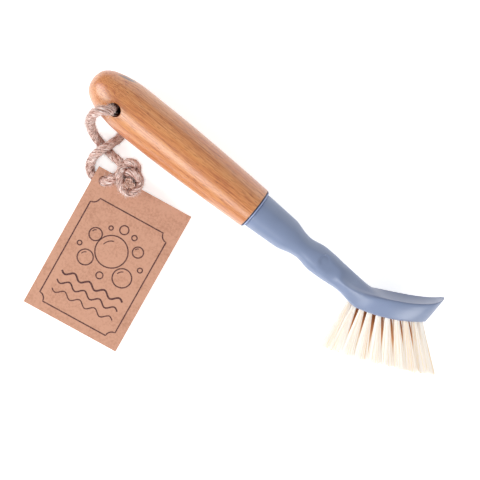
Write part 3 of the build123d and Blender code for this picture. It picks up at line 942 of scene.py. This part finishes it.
def hollowDepth(x, y):
    # A thumb's hollow in each side of the neck, with a crisp edge towards the handle that fades
    # out towards the head
    hollow = head["hollow"]
    dx = x - hollow["middle"][0]
    dx /= hollow["after"] if dx > 0 else hollow["before"]
    dy = (y - hollow["middle"][1]) / hollow["across"]
    reach = math.hypot(dx, dy)
    if reach >= 1:
        return 0.0
    facing = max(0.0, (0.6 * dy - 0.8 * dx) / max(reach, 1e-6))
    edge = 0.95 - 0.9 * facing**2
    t = min(1.0, (1 - reach) / edge)
    fade = 1 - 0.8 * max(0.0, dx)
    return hollow["depth"] * t * t * (3 - 2 * t) * fade


def makeHead(material):
    rows = headRows()
    start = headOutline(rows[0])
    rows = curveThrough(rows, runningLength([(row[0], row[2]) for row in rows]), head["spacing"])
    vertices, rings = [], []

    def addOutline(x, outline):
        points = []
        for y, z in outline:
            dip = hollowDepth(x, y) if abs(z) > 5 else 0.0
            points.append(place(x, y, axisHeight + z - math.copysign(dip, z)))
        rings.append(addRing(vertices, points))

    def circle(radius):
        # The same places round the ring as on the neck, so that the bands don't twist
        return [(y * radius / math.hypot(y, z), z * radius / math.hypot(y, z)) for y, z in start]

    plug, base = head["plug"], head["baseWidth"] / 2
    plugStart = plug["seat"] - plug["length"]
    neck = plug["seat"] + plug["groove"]
    for x, radius in (
        (plugStart, plug["radius"] / 2), (plugStart, plug["radius"] - plug["chamfer"]),
        (plugStart + plug["chamfer"], plug["radius"]), (plug["seat"], plug["radius"]),
        (plug["seat"], plug["grooveRadius"]), (neck, plug["grooveRadius"]), (neck, base - 0.3),
        (neck + 0.1, base - 0.1),
    ):
        addOutline(x, circle(radius))
    # The last two rows make way for the front wall's rounded edge
    for row in [row for row in rows if row[0] > head["neckStart"]][:-2]:
        addOutline(row[0], headOutline(row))
    outline = headOutline(rows[-1])
    middleY = sum(y for y, _ in outline) / len(outline)
    front = head["neckStart"] + head["neckLength"] + head["length"]
    for back, inset in quarterRound(head["edgeRounding"], 5)[1:]:
        ring = []
        for y, z in outline:
            share = max(0.2, 1 - inset / math.hypot(y - middleY, z))
            ring.append((middleY + (y - middleY) * share, z * share))
        addOutline(front - back, ring)
    for share in (0.7, 0.4, 0.15):
        addOutline(front, [(middleY + (y - middleY) * share, z * share) for y, z in ring])
    faces = skinFaces(rings)
    for ring, at in ((rings[0], (plugStart, 0, axisHeight)), (rings[-1], (front, middleY, axisHeight))):
        vertices.append(place(*at))
        faces += fanFaces(ring, len(vertices) - 1)
    piece = addPiece("plastic_head", vertices, faces, material)
    piece.data.set_sharp_from_angle(angle=math.radians(55))
    return piece


def plasticMaterial(name, tint, roughness):
    # Polypropylene, injection moulded: blue-grey, satin, with the faint mottle of recycled stock
    made, tree = newMaterial(name)
    where = addNode(tree, "ShaderNodeTexCoord")
    mottle = addNode(tree, "ShaderNodeTexNoise", {"Vector": where.outputs["Object"], "Scale": 60.0, "Detail": 2.0})
    grain = addNode(
        tree, "ShaderNodeTexNoise", {"Vector": where.outputs["Object"], "Scale": 2500.0, "Detail": 1.0}
    )
    colour = addNode(tree, "ShaderNodeValToRGB", {0: mottle}, stops=tint)
    # Painted shade: the head's dished back, where it faces backwards, is painted darker than the sides
    backShade = head["backShade"]
    at = addNode(tree, "ShaderNodeSeparateXYZ", {0: where.outputs["Object"]})
    facing = addNode(tree, "ShaderNodeSeparateXYZ", {0: where.outputs["Normal"]})
    onHead, onBack = [
        addNode(tree, "ShaderNodeMapRange", {0: value, 1: low, 2: high})
        for value, (low, high) in ((at.outputs[0], backShade["start"]), (facing.outputs[1], backShade["facing"]))
    ]
    share = addNode(tree, "ShaderNodeMath", {0: onHead, 1: onBack}, operation="MULTIPLY")
    backShaded = addNode(
        tree, "ShaderNodeMix", {0: share, 6: colour, 7: linearColour(backShade["colour"])}, data_type="RGBA"
    )
    bump = addNode(tree, "ShaderNodeBump", {"Strength": 0.15, "Distance": 0.03 * mm, "Height": grain})
    shader = addNode(tree, "ShaderNodeBsdfPrincipled", {
        "Base Color": backShaded, "Normal": bump, "Roughness": roughness, "IOR": 1.49, "Specular IOR Level": 0.85,
    })
    addNode(tree, "ShaderNodeOutputMaterial", {"Surface": shader})
    return made


headPlastic = plasticMaterial("moulded polypropylene", [(0.3, "#8190b0"), (0.7, "#8796b7")], 0.34)
insertPlastic = plasticMaterial("pale moulded polypropylene", [(0.3, "#a3b3dc"), (0.7, "#acbbe2")], 0.3)
plasticHead = makeHead(headPlastic)
print("head made")


# Bristles

bristles = {
    "tuftPitch": 5.2,
    "outerRing": (42.0, 22.4),
    "innerRing": (29.6, 11.2),
    "faceAngle": 23.0,
    "faceMiddle": 35.2,
    "tipAngle": 24.5,
    "leanAngle": -53.8,
    "length": 26.5,
    "fanLong": 1.4,
    "fanBack": 1.51,
    "fanWide": 1.23,
    "perTuft": 200,
    "tuftRadius": 1.38,
    "splay": 2.0,  # how far a tuft's own filaments spread beyond the fan of the tufts
    "filament": 0.26,  # mm thick, drawn a little coarser than the real 0.2 mm so that it shows
    "bow": 0.5,
    "uneven": 1.3,
    "sunk": 1.2,
    "floorGap": 0.05,
    "seed": 7,
}
# The close-packed middle of each tuft: its share of the tuft's radius, the places of its rings along
# the filaments, and where the caps at both ends stand
tuftCore = {
    "around": 22,
    "share": 0.78,
    "grooves": (0.82, 1.08),
    "rings": [-0.03, 0.2, 0.45, 0.7, 0.85, 0.93],
    "cap": 0.985,
    "tone": 0.3,
    "floorGap": 0.35,
    "topGap": 0.3,
}


def faceHeight(x, z):
    at = (x - head["neckStart"] - head["neckLength"]) / head["length"]
    rows = head["headSections"]
    last = next(i for i in range(1, len(rows)) if rows[i][0] >= min(at, 1))
    before, after = rows[last - 1], rows[last]
    mix = (at - before[0]) / (after[0] - before[0])
    edgeY, edgeZ, middleY = [before[i] + mix * (after[i] - before[i]) for i in (5, 6, 7)]
    return head["lift"] * (middleY + (edgeY - middleY) * (z / (edgeZ * head["faceHalf"])) ** 2)


def rootPoint(along, aside):
    slope = math.radians(bristles["faceAngle"])
    x = head["neckStart"] + head["neckLength"] + bristles["faceMiddle"] + along * math.cos(slope)
    return Vector((x, faceHeight(x, aside), axisHeight + aside))


def tipPoint(along, aside):
    middle = rootPoint(0, 0)
    lean, slope = math.radians(bristles["leanAngle"]), math.radians(bristles["tipAngle"])
    reach = along * (bristles["fanLong"] if along > 0 else bristles["fanBack"])
    return Vector((
        middle.x + bristles["length"] * math.cos(lean) + reach * math.cos(slope),
        middle.y + bristles["length"] * math.sin(lean) + reach * math.sin(slope),
        axisHeight + aside * bristles["fanWide"],
    ))


def ringPlaces(size):
    # Tufts at even steps round an oval
    angles = [2 * math.pi * i / 360 for i in range(361)]
    points = [(size[0] / 2 * math.cos(angle), size[1] / 2 * math.sin(angle)) for angle in angles]
    travelled = runningLength(points)
    count = round(travelled[-1] / bristles["tuftPitch"])
    wanted = [(i + 0.5) * travelled[-1] / count for i in range(count)]
    return [points[min(range(360), key=lambda j: abs(travelled[j] - length))] for length in wanted]


def tuftPlaces():
    outer, inner = ringPlaces(bristles["outerRing"]), ringPlaces(bristles["innerRing"])
    rowLength = 2 * bristles["innerRing"][0] - bristles["outerRing"][0]
    rowCount = round(rowLength / bristles["tuftPitch"]) + 1
    row = [((i / (rowCount - 1) - 0.5) * rowLength, 0.0) for i in range(rowCount)]
    return [(*at, 0.0) for at in outer] + [(*at, 1.0) for at in inner + row]


def tuftFrames():
    # Each tuft's root, tip, way, the two directions across it, and 1 where other tufts hide it
    for along, aside, isInner in tuftPlaces():
        root, tip = rootPoint(along, aside), tipPoint(along, aside)
        way = (tip - root).normalized()
        tuftAlong = (Vector((1, 0, 0)) - way * way.x).normalized()
        yield root, tip, way, tuftAlong, way.cross(tuftAlong), isInner


def tipSlope():
    slope = math.radians(bristles["tipAngle"])
    return Vector((math.cos(slope), math.sin(slope), 0))


def bristleTree():
    # Fills each tuft's root point with filaments that fan out to the plane of the tips
    tree, given = newTree("bristleTufts", {
        "Filaments per tuft": "Int", "Tuft radius": "Float", "Filament radius": "Float",
        "Fan along": "Float", "Fan across": "Float", "Splay": "Float", "Bow": "Float",
        "Uneven tips": "Float", "Seed": "Int", "Material": "Material",
    })
    copies = addNode(
        tree, "GeometryNodeDuplicateElements",
        {"Geometry": given["Geometry"], "Amount": given["Filaments per tuft"]}, domain="POINT",
    )
    turn = addNode(tree, "FunctionNodeRandomValue", {2: 0.0, 3: 2 * math.pi, "Seed": given["Seed"]})
    spread = addNode(tree, "FunctionNodeRandomValue", {2: 0.0, 3: 1.0, "Seed": 101})
    root = addNode(tree, "ShaderNodeMath", {0: spread}, operation="SQRT")
    reach = addNode(tree, "ShaderNodeMath", {0: root, 1: given["Tuft radius"]}, operation="MULTIPLY")
    # The same shift across the tuft, grown by the splay and the fan, moves the foot and the tip
    start = addNode(tree, "GeometryNodeInputPosition")
    tip = addNode(tree, "GeometryNodeInputNamedAttribute", {"Name": "tip"}, data_type="FLOAT_VECTOR")
    for operation, footName, tipName, fan in (
        ("COSINE", "tuftAlong", "tipAlong", "Fan along"), ("SINE", "tuftAside", "tipAside", "Fan across"),
    ):
        part = addNode(tree, "ShaderNodeMath", {0: turn}, operation=operation)
        shift = addNode(tree, "ShaderNodeMath", {0: part, 1: reach}, operation="MULTIPLY")
        splayed = addNode(tree, "ShaderNodeMath", {0: shift, 1: given["Splay"]}, operation="MULTIPLY")
        fanned = addNode(tree, "ShaderNodeMath", {0: splayed, 1: given[fan]}, operation="MULTIPLY")
        moved = []
        for name, amount, at in ((footName, shift, start), (tipName, fanned, tip)):
            way = addNode(tree, "GeometryNodeInputNamedAttribute", {"Name": name}, data_type="FLOAT_VECTOR")
            scaled = addNode(tree, "ShaderNodeVectorMath", {0: way, "Scale": amount}, operation="SCALE")
            moved.append(addNode(tree, "ShaderNodeVectorMath", {0: at, 1: scaled}))
        start, tip = moved
    # The lowest tips lie on the table, and the highest are held in by their neighbours
    loose = addNode(tree, "ShaderNodeSeparateXYZ", {0: tip})
    held = addNode(
        tree, "ShaderNodeClamp", {0: loose.outputs[2], 1: given["Filament radius"], 2: 2 * axisHeight * mm}
    )
    tip = addNode(tree, "ShaderNodeCombineXYZ", {0: loose.outputs[0], 1: loose.outputs[1], 2: held})
    way = addNode(tree, "ShaderNodeVectorMath", {0: tip, 1: start}, operation="SUBTRACT")
    cut = addNode(tree, "FunctionNodeRandomValue", {2: -1.0, 3: 0.1, "Seed": 55})
    shorter = addNode(tree, "ShaderNodeMath", {0: cut, 1: given["Uneven tips"]}, operation="MULTIPLY")
    long = addNode(tree, "ShaderNodeVectorMath", {0: way}, operation="LENGTH")
    whole = addNode(tree, "ShaderNodeMath", {0: long, 1: shorter})
    bend = addNode(
        tree, "FunctionNodeRandomValue", {0: (-1, -1, -1), 1: (1, 1, 1), "Seed": 31}, data_type="FLOAT_VECTOR"
    )
    bent = addNode(tree, "ShaderNodeVectorMath", {0: bend, "Scale": given["Bow"]}, operation="SCALE")
    pick = addNode(tree, "FunctionNodeRandomValue", {2: 0.0, 3: 1.0, "Seed": 77})
    kept = copies
    for name, value, kind in (
        ("way", way, "FLOAT_VECTOR"), ("whole", whole, "FLOAT"),
        ("bow", bent, "FLOAT_VECTOR"), ("tone", pick, "FLOAT"),
    ):
        kept = addNode(
            tree, "GeometryNodeStoreNamedAttribute", {"Geometry": kept, "Name": name, "Value": value},
            data_type=kind,
        )
    moved = addNode(tree, "GeometryNodeSetPosition", {"Geometry": kept, "Position": start})
    # The tips are split by trimming, which makes them thicker than the roots
    filament = addNode(
        tree, "GeometryNodeMeshCone",
        {"Vertices": 3, "Side Segments": 3, "Radius Top": 1.4, "Radius Bottom": 0.95, "Depth": 1.0},
    )
    wayBack = addNode(tree, "GeometryNodeInputNamedAttribute", {"Name": "way"}, data_type="FLOAT_VECTOR")
    wholeBack = addNode(tree, "GeometryNodeInputNamedAttribute", {"Name": "whole"}, data_type="FLOAT")
    size = addNode(
        tree, "ShaderNodeCombineXYZ", {0: given["Filament radius"], 1: given["Filament radius"], 2: wholeBack}
    )
    plantStrands(tree, moved, filament, wayBack, size, "bow", bristles["floorGap"] * mm, given["Material"])
    return tree


def bristleMaterial(name, tones):
    # Nylon filament, drawn: cream and slightly see-through, warm brown where light is lost between tufts
    made, tree = newMaterial(name)
    height, inner, tone = [
        addNode(tree, "ShaderNodeAttribute", attribute_name=part).outputs["Fac"]
        for part in ("height", "inner", "tone")
    ]
    down = addNode(tree, "ShaderNodeMath", {0: 1.0, 1: height}, operation="SUBTRACT")
    deep = addNode(tree, "ShaderNodeMath", {0: down, 1: 1.4}, operation="POWER")
    shade = addNode(tree, "ShaderNodeMath", {0: deep, 1: inner}, operation="MULTIPLY")
    depth = addNode(tree, "ShaderNodeValToRGB", {0: shade}, stops=tones)
    # No two filaments are quite the same cream
    tint = addNode(
        tree, "ShaderNodeValToRGB", {0: tone}, stops=[(0.0, "#eed8be"), (0.12, "#faeee0"), (0.32, "#ffffff")]
    )
    colour = addNode(
        tree, "ShaderNodeMix", {0: 1.0, 6: depth, 7: tint}, data_type="RGBA", blend_type="MULTIPLY"
    )
    # The emission stands in for the light that the filaments pass on to one another
    shader = addNode(tree, "ShaderNodeBsdfPrincipled", {
        "Base Color": colour, "Emission Color": colour, "Emission Strength": 0.15,
        "Roughness": 0.5, "IOR": 1.53, "Sheen Weight": 0.3,
    })
    addNode(tree, "ShaderNodeOutputMaterial", {"Surface": shader})
    return made


filamentNylon = bristleMaterial(
    "cream nylon filament",
    [(0.0, "#fffdf9"), (0.22, "#fdf2e6"), (0.42, "#efc698"), (0.68, "#d0935c"), (1.0, "#9c5c34")],
)
# Painted shade: the tuft cores are painted a darker, warmer tan than the loose filaments, for the shade between
# them
coreShadeNylon = bristleMaterial(
    "tuft core nylon with painted shade",
    [(0.0, "#fff0de"), (0.2, "#fbdfbe"), (0.38, "#eab27a"), (0.62, "#c9844a"), (1.0, "#9a5a30")],
)


def makeBristles(material):
    tipAlong = tipSlope()
    roots, inner = [], []
    columns = {name: [] for name in ("tuftAlong", "tuftAside", "tip", "tipAlong", "tipAside")}
    for root, tip, way, tuftAlong, tuftAside, isInner in tuftFrames():
        roots.append(place(*(root - way * bristles["sunk"])))
        inner.append(isInner)
        for name, value in zip(columns, (tuftAlong, tuftAside, place(*tip), tipAlong, Vector((0, 0, 1)))):
            columns[name].extend(value)
    mesh = bpy.data.meshes.new("bristles")
    mesh.from_pydata(roots, [], [])
    for name, values in columns.items():
        mesh.attributes.new(name, "FLOAT_VECTOR", "POINT").data.foreach_set("vector", values)
    mesh.attributes.new("inner", "FLOAT", "POINT").data.foreach_set("value", inner)
    piece = addObject("bristles", mesh)
    treeResult(piece, bristleTree(), {
        "Filaments per tuft": bristles["perTuft"],
        "Tuft radius": bristles["tuftRadius"] * mm,
        "Filament radius": bristles["filament"] / 2 * mm,
        "Fan along": bristles["fanLong"],
        "Fan across": bristles["fanWide"],
        "Splay": bristles["splay"],
        "Bow": bristles["bow"] * mm,
        "Uneven tips": bristles["uneven"] * mm,
        "Seed": bristles["seed"],
        "Material": material,
    })
    return piece


def makeTuftCores(material):
    # Grooved like bundled filaments and hidden among the loose ones
    chance = random.Random(bristles["seed"])
    tipAlong = tipSlope()
    vertices, faces, heights, inner = [], [], [], []
    count, places = tuftCore["around"], tuftCore["rings"]
    for root, tip, _, tuftAlong, tuftAside, isInner in tuftFrames():
        grooves = [tuftCore["share"] * chance.uniform(*tuftCore["grooves"]) for _ in range(count)]
        rings = []
        for at in places:
            points = []
            for share, (_, cosine, sine) in zip(grooves, turnsOf(count)):
                reach = bristles["tuftRadius"] * share
                a, b = reach * cosine, reach * sine
                foot = root + tuftAlong * a + tuftAside * b
                end = tip + tipAlong * (a * bristles["splay"] * bristles["fanLong"])
                end.z += b * bristles["splay"] * bristles["fanWide"]
                end.z = min(max(end.z, tuftCore["floorGap"]), 2 * axisHeight - tuftCore["topGap"])
                points.append(place(*foot.lerp(end, at)))
            rings.append(addRing(vertices, points))
            heights += [max(at, 0.0)] * count
        faces += skinFaces(rings)
        for ring, at, turned in ((rings[0], places[0], True), (rings[-1], tuftCore["cap"] * places[-1], False)):
            vertices.append(place(*root.lerp(tip, at)))
            heights.append(max(at, 0.0))
            fan = fanFaces(ring, len(vertices) - 1)
            faces += [face[::-1] for face in fan] if turned else fan
        inner += [isInner] * (len(vertices) - len(inner))
    piece = addPiece("bristle_cores", vertices, faces, material)
    for name, values in (("height", heights), ("inner", inner), ("tone", [tuftCore["tone"]] * len(heights))):
        piece.data.attributes.new(name, "FLOAT", "POINT").data.foreach_set("value", values)
    return piece


nylonBristles = makeBristles(filamentNylon)
bristleCores = makeTuftCores(coreShadeNylon)
print("bristles made,", len(nylonBristles.data.polygons), "faces")


# Kraft tag

tag = {
    "hole": (-75.088, -42.642, 5.878),
    "width": 60.0,
    "length": 90.0,
    "thickness": 0.5,
    "holeRadius": 3.0,
    "fromSide": 6.6,
    "fromTop": 6.2,
    "turn": 9.7,
    "groundGap": 0.3,
    "inkHeight": 0.03,
    "around": 96,
}


def tagFrame():
    drop = tag["hole"][2] - tag["groundGap"] - tag["thickness"] / 2
    slope = math.asin(drop / (tag["length"] - tag["fromTop"]))
    turn = math.radians(tag["turn"])
    right = Vector((math.cos(turn), math.sin(turn), 0))
    out = Vector((math.sin(turn) * math.sin(slope), -math.cos(turn) * math.sin(slope), math.cos(slope)))
    return right, out.cross(right), out


tagRight, tagUp, tagOut = tagFrame()


def tagPoint(u, v, w=0.0):
    # u from the tag's left side and v down from its top edge, w out of its face
    at = Vector(tag["hole"]) + tagRight * (u - tag["fromSide"]) + tagUp * (tag["fromTop"] - v) + tagOut * w
    return place(*at)


def makeTag(material, edgeMaterial):
    # The card is a ring of quads from its outline to its hole, on both faces
    count, width, length = tag["around"], tag["width"], tag["length"]
    left, top = tag["fromSide"], tag["fromTop"]
    outline, circle = [], []
    for i in range(count):
        angle = 2 * math.pi * (i + 0.5) / count
        cosine, sine = math.cos(angle), math.sin(angle)
        reach = min(
            (limit - start) / step
            for start, step, limits in ((left, cosine, (0, width)), (top, sine, (0, length)))
            for limit in limits
            if (limit - start) * step > 0
        )
        outline.append((left + cosine * reach, top + sine * reach))
        circle.append((left + cosine * tag["holeRadius"], top + sine * tag["holeRadius"]))
    for corner in ((0, 0), (width, 0), (width, length), (0, length)):
        nearest = min(range(count), key=lambda i: math.dist(outline[i], corner))
        outline[nearest] = corner
    half = tag["thickness"] / 2
    vertices = []
    rings = [
        addRing(vertices, [tagPoint(u, v, w) for u, v in points])
        for points, w in ((circle, half), (outline, half), (outline, -half), (circle, -half))
    ]
    piece = addPiece("kraft_tag", vertices, skinFaces(rings + rings[:1]), material, smooth=False)
    piece.data.materials.append(edgeMaterial)
    for polygon in piece.data.polygons:
        if abs(polygon.normal.dot(tagOut)) < 0.5:
            polygon.material_index = 1
    return piece


def kraftMaterial(name, light, dark):
    # Kraft card, unbleached: pinkish brown with short darker fibres and a dry surface
    made, tree = newMaterial(name)
    where = addNode(tree, "ShaderNodeTexCoord").outputs["Object"]
    fibres = addNode(
        tree, "ShaderNodeTexNoise", {"Vector": where, "Scale": 700.0, "Detail": 4.0, "Roughness": 0.7}
    )
    clouds = addNode(tree, "ShaderNodeTexNoise", {"Vector": where, "Scale": 90.0, "Detail": 3.0})
    mixed = addNode(tree, "ShaderNodeMix", {0: 0.35, 2: fibres, 3: clouds})
    colour = addNode(
        tree, "ShaderNodeValToRGB", {0: mixed}, stops=[(0.3, dark), (0.52, light), (0.75, light)]
    )
    bump = addNode(tree, "ShaderNodeBump", {"Strength": 0.2, "Distance": 0.05 * mm, "Height": fibres})
    shader = addNode(
        tree, "ShaderNodeBsdfPrincipled",
        {"Base Color": colour, "Normal": bump, "Roughness": 0.85, "Specular IOR Level": 0.3},
    )
    addNode(tree, "ShaderNodeOutputMaterial", {"Surface": shader})
    return made


kraft = kraftMaterial("kraft card", "#d3a087", "#b9856c")
kraftEdge = kraftMaterial("cut kraft edge", "#a8796a", "#8f6659")
kraftTag = makeTag(kraft, kraftEdge)

# The print is bubbles over water in a thin frame, in mm from the tag's upper left corner
tagPrint = {
    "line": 0.75,
    "frame": (5.5, 16.0, 54.5, 84.5),
    "corner": 4.0,
    # Place and radius, and the arc of the glint in the large ones
    "bubbles": [
        (30.0, 40.0, 9.5), (18.4, 50.0, 4.6), (42.6, 50.6, 5.6), (43.4, 33.0, 3.2), (17.2, 35.4, 3.8),
        (30.4, 25.4, 2.6), (23.2, 28.0, 1.2), (37.6, 26.6, 1.5), (11.6, 44.2, 1.3), (49.4, 41.6, 1.4),
        (30.6, 55.4, 2.0),
    ],
    "glint": {"above": 3.0, "share": 0.66, "line": 0.6, "degrees": range(195, 256, 6)},
    # Place down the tag, height and line width
    "waves": [(63.0, 1.5, 1.1), (69.0, 1.5, 0.9), (75.0, 1.5, 0.7)],
    "waveInset": 5.0,
}


def strokeFaces(points, width, closed, vertices, faces):
    # A flat ribbon of ink along a line on the tag's face
    count = len(points)
    start = len(vertices)
    lift = tag["thickness"] / 2 + tag["inkHeight"]
    for i, (u, v) in enumerate(points):
        before = points[i - 1] if closed or i else points[i]
        after = points[(i + 1) % count] if closed or i + 1 < count else points[i]
        du, dv = after[0] - before[0], after[1] - before[1]
        long = math.hypot(du, dv)
        du, dv = du / long * width / 2, dv / long * width / 2
        vertices += [tagPoint(u - dv, v + du, lift), tagPoint(u + dv, v - du, lift)]
    for i in range(count if closed else count - 1):
        a, b = start + 2 * i, start + 2 * ((i + 1) % count)
        faces.append((a, b, b + 1, a + 1))


def makeTagPrint(material):
    vertices, faces = [], []
    left, top, right, bottom = tagPrint["frame"]
    corner, line, glint = tagPrint["corner"], tagPrint["line"], tagPrint["glint"]
    outline = []
    # The frame's corners curve inwards
    for u, v, first in ((left, top, 90), (right, top, 180), (right, bottom, 270), (left, bottom, 0)):
        for step in range(9):
            angle = math.radians(first - 11.25 * step)
            outline.append((u + corner * math.cos(angle), v + corner * math.sin(angle)))
    strokeFaces(outline, line, True, vertices, faces)
    for u, v, radius in tagPrint["bubbles"]:
        ring = [(u + radius * cosine, v + radius * sine) for _, cosine, sine in turnsOf(40)]
        strokeFaces(ring, line, True, vertices, faces)
        if radius > glint["above"]:
            reach = radius * glint["share"]
            angles = [math.radians(degrees) for degrees in glint["degrees"]]
            arc = [(u + reach * math.cos(angle), v + reach * math.sin(angle)) for angle in angles]
            strokeFaces(arc, glint["line"], False, vertices, faces)
    first, span = left + tagPrint["waveInset"], right - left - 2 * tagPrint["waveInset"]
    for v, height, width in tagPrint["waves"]:
        wave = [(first + span * i / 60, v + height * math.sin(2 * math.pi * i / 15)) for i in range(61)]
        strokeFaces(wave, width, False, vertices, faces)
    ink = addPiece("tag_print", vertices, faces, material, smooth=False)
    for polygon in ink.data.polygons:
        if polygon.normal.dot(tagOut) < 0:
            polygon.flip()
    return ink


# Offset ink on kraft: dark brown, matt, and a little thin where the card's fibres stand up
brownInk = speckledMaterial(
    "brown offset ink", {"Scale": 1500.0, "Detail": 2.0}, [(0.45, "#4d2a2a"), (0.75, "#8a5c50")],
    {"Roughness": 0.7},
)
tagInk = makeTagPrint(brownInk)
print("tag made")


# Bodies, and materials for the CAD parts that stay

# Flat drawn brass wire: yellow metal with faint draw lines
brass = speckledMaterial(
    "drawn brass wire", {"Scale": 1500.0, "Detail": 1.0}, [(0.3, "#b3923f"), (0.7, "#cbab57")],
    {"Metallic": 1.0, "Roughness": 0.3},
)
for nodeName, material in (("socket_insert", insertPlastic), ("anchor_staples", brass)):
    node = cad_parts[nodeName]
    node.data.materials.clear()
    node.data.materials.append(material)

# Piece, its body, its slot and the nodes that it stands for
tufts = [f"tuft_{i:02d}" for i in range(1, 38)]
for piece, body, slot, nodes in (
    (hangCord, "handle", "jute_cord", ["hang_cord"]),
    *[(part, "handle", "jute_cord", ["cord_knot"]) for part in (*knotParts, knotEnd)],
    (juteFibres, "handle", "jute_cord", []),
    (seamShade, "handle", "insert_plastic", []),
    (bambooHandle, "handle", "bamboo", ["handle"]),
    (plasticHead, "head", "head_plastic", ["brush_head"]),
    (nylonBristles, "head", "bristle_nylon", tufts),
    (bristleCores, "head", "bristle_nylon", []),
    (kraftTag, "tag", "kraft_card", ["hang_tag"]),
    (tagInk, "tag", "kraft_card", []),
):
    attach(piece, body)
    if nodes:
        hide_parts(*nodes)


# Floor and light

light = {
    "world": 0.46,
    "floor": "#f2f2f2",
    "floorGlow": 0.68,
    "floorReach": 3.0,
    "floorDrop": 0.0001,
    # name, place, what it points at, size in m, W
    "lamps": [
        ("leftLamp", (-0.71, -0.47, 0.51), (0, 0, 0.02), (0.62, 0.62), 4.3),
        # The softbox on the bristles' side draws the long pale gloss on the handle
        ("sideLamp", (-0.165, -0.752, 0.683), (-0.07, 0, 0.03), (0.54, 0.44), 2.65),
        ("rightLamp", (0.85, -0.45, 0.43), (0.1, 0, 0.02), (0.5, 0.5), 3.7),
        ("backLamp", (-0.2, 1.15, 0.32), (0, 0, 0.02), (1.5, 0.55), 2.2),
    ],
}


def floorMaterial():
    # Matt white card that also shows white to the camera and in reflections
    made, tree = newMaterial("white floor")
    diffuse = addNode(tree, "ShaderNodeBsdfDiffuse", {"Color": linearColour(light["floor"])})
    path = addNode(tree, "ShaderNodeLightPath").outputs
    gloss = addNode(tree, "ShaderNodeMath", {0: path["Is Glossy Ray"], 1: path["Is Transmission Ray"]})
    direct = addNode(tree, "ShaderNodeMath", {0: path["Is Camera Ray"], 1: gloss}, use_clamp=True)
    seen = addNode(tree, "ShaderNodeMath", {0: direct, 1: light["floorGlow"]}, operation="MULTIPLY")
    glow = addNode(tree, "ShaderNodeEmission", {"Strength": seen})
    both = addNode(tree, "ShaderNodeAddShader", {0: diffuse, 1: glow})
    addNode(tree, "ShaderNodeOutputMaterial", {"Surface": both})
    return made


def addFloor():
    reach, low = light["floorReach"], -light["floorDrop"]
    mesh = bpy.data.meshes.new("floor")
    corners = [(-reach, -reach, low), (reach, -reach, low), (reach, reach, low), (-reach, reach, low)]
    mesh.from_pydata(corners, [], [(0, 1, 2, 3)])
    mesh.materials.append(floorMaterial())
    addObject("floor", mesh)


def addLamp(name, at, aim, size, energy):
    data = bpy.data.lights.new(name, "AREA")
    data.shape = "RECTANGLE"
    data.size, data.size_y = size
    data.energy = energy
    where, target = Vector(at), Vector(aim)
    turned = (target - where).to_track_quat("-Z", "Y").to_matrix().to_4x4()
    addObject(name, data).matrix_world = Matrix.Translation(where) @ turned


def addLight():
    world = bpy.data.worlds.new("studio")
    bpy.context.scene.world = world
    world.use_nodes = True
    background = world.node_tree.nodes["Background"]
    background.inputs[0].default_value = (1, 1, 1, 1)
    background.inputs[1].default_value = light["world"]
    for lamp in light["lamps"]:
        addLamp(*lamp)


addFloor()
addLight()
bpy.context.scene.view_settings.view_transform = "Standard"
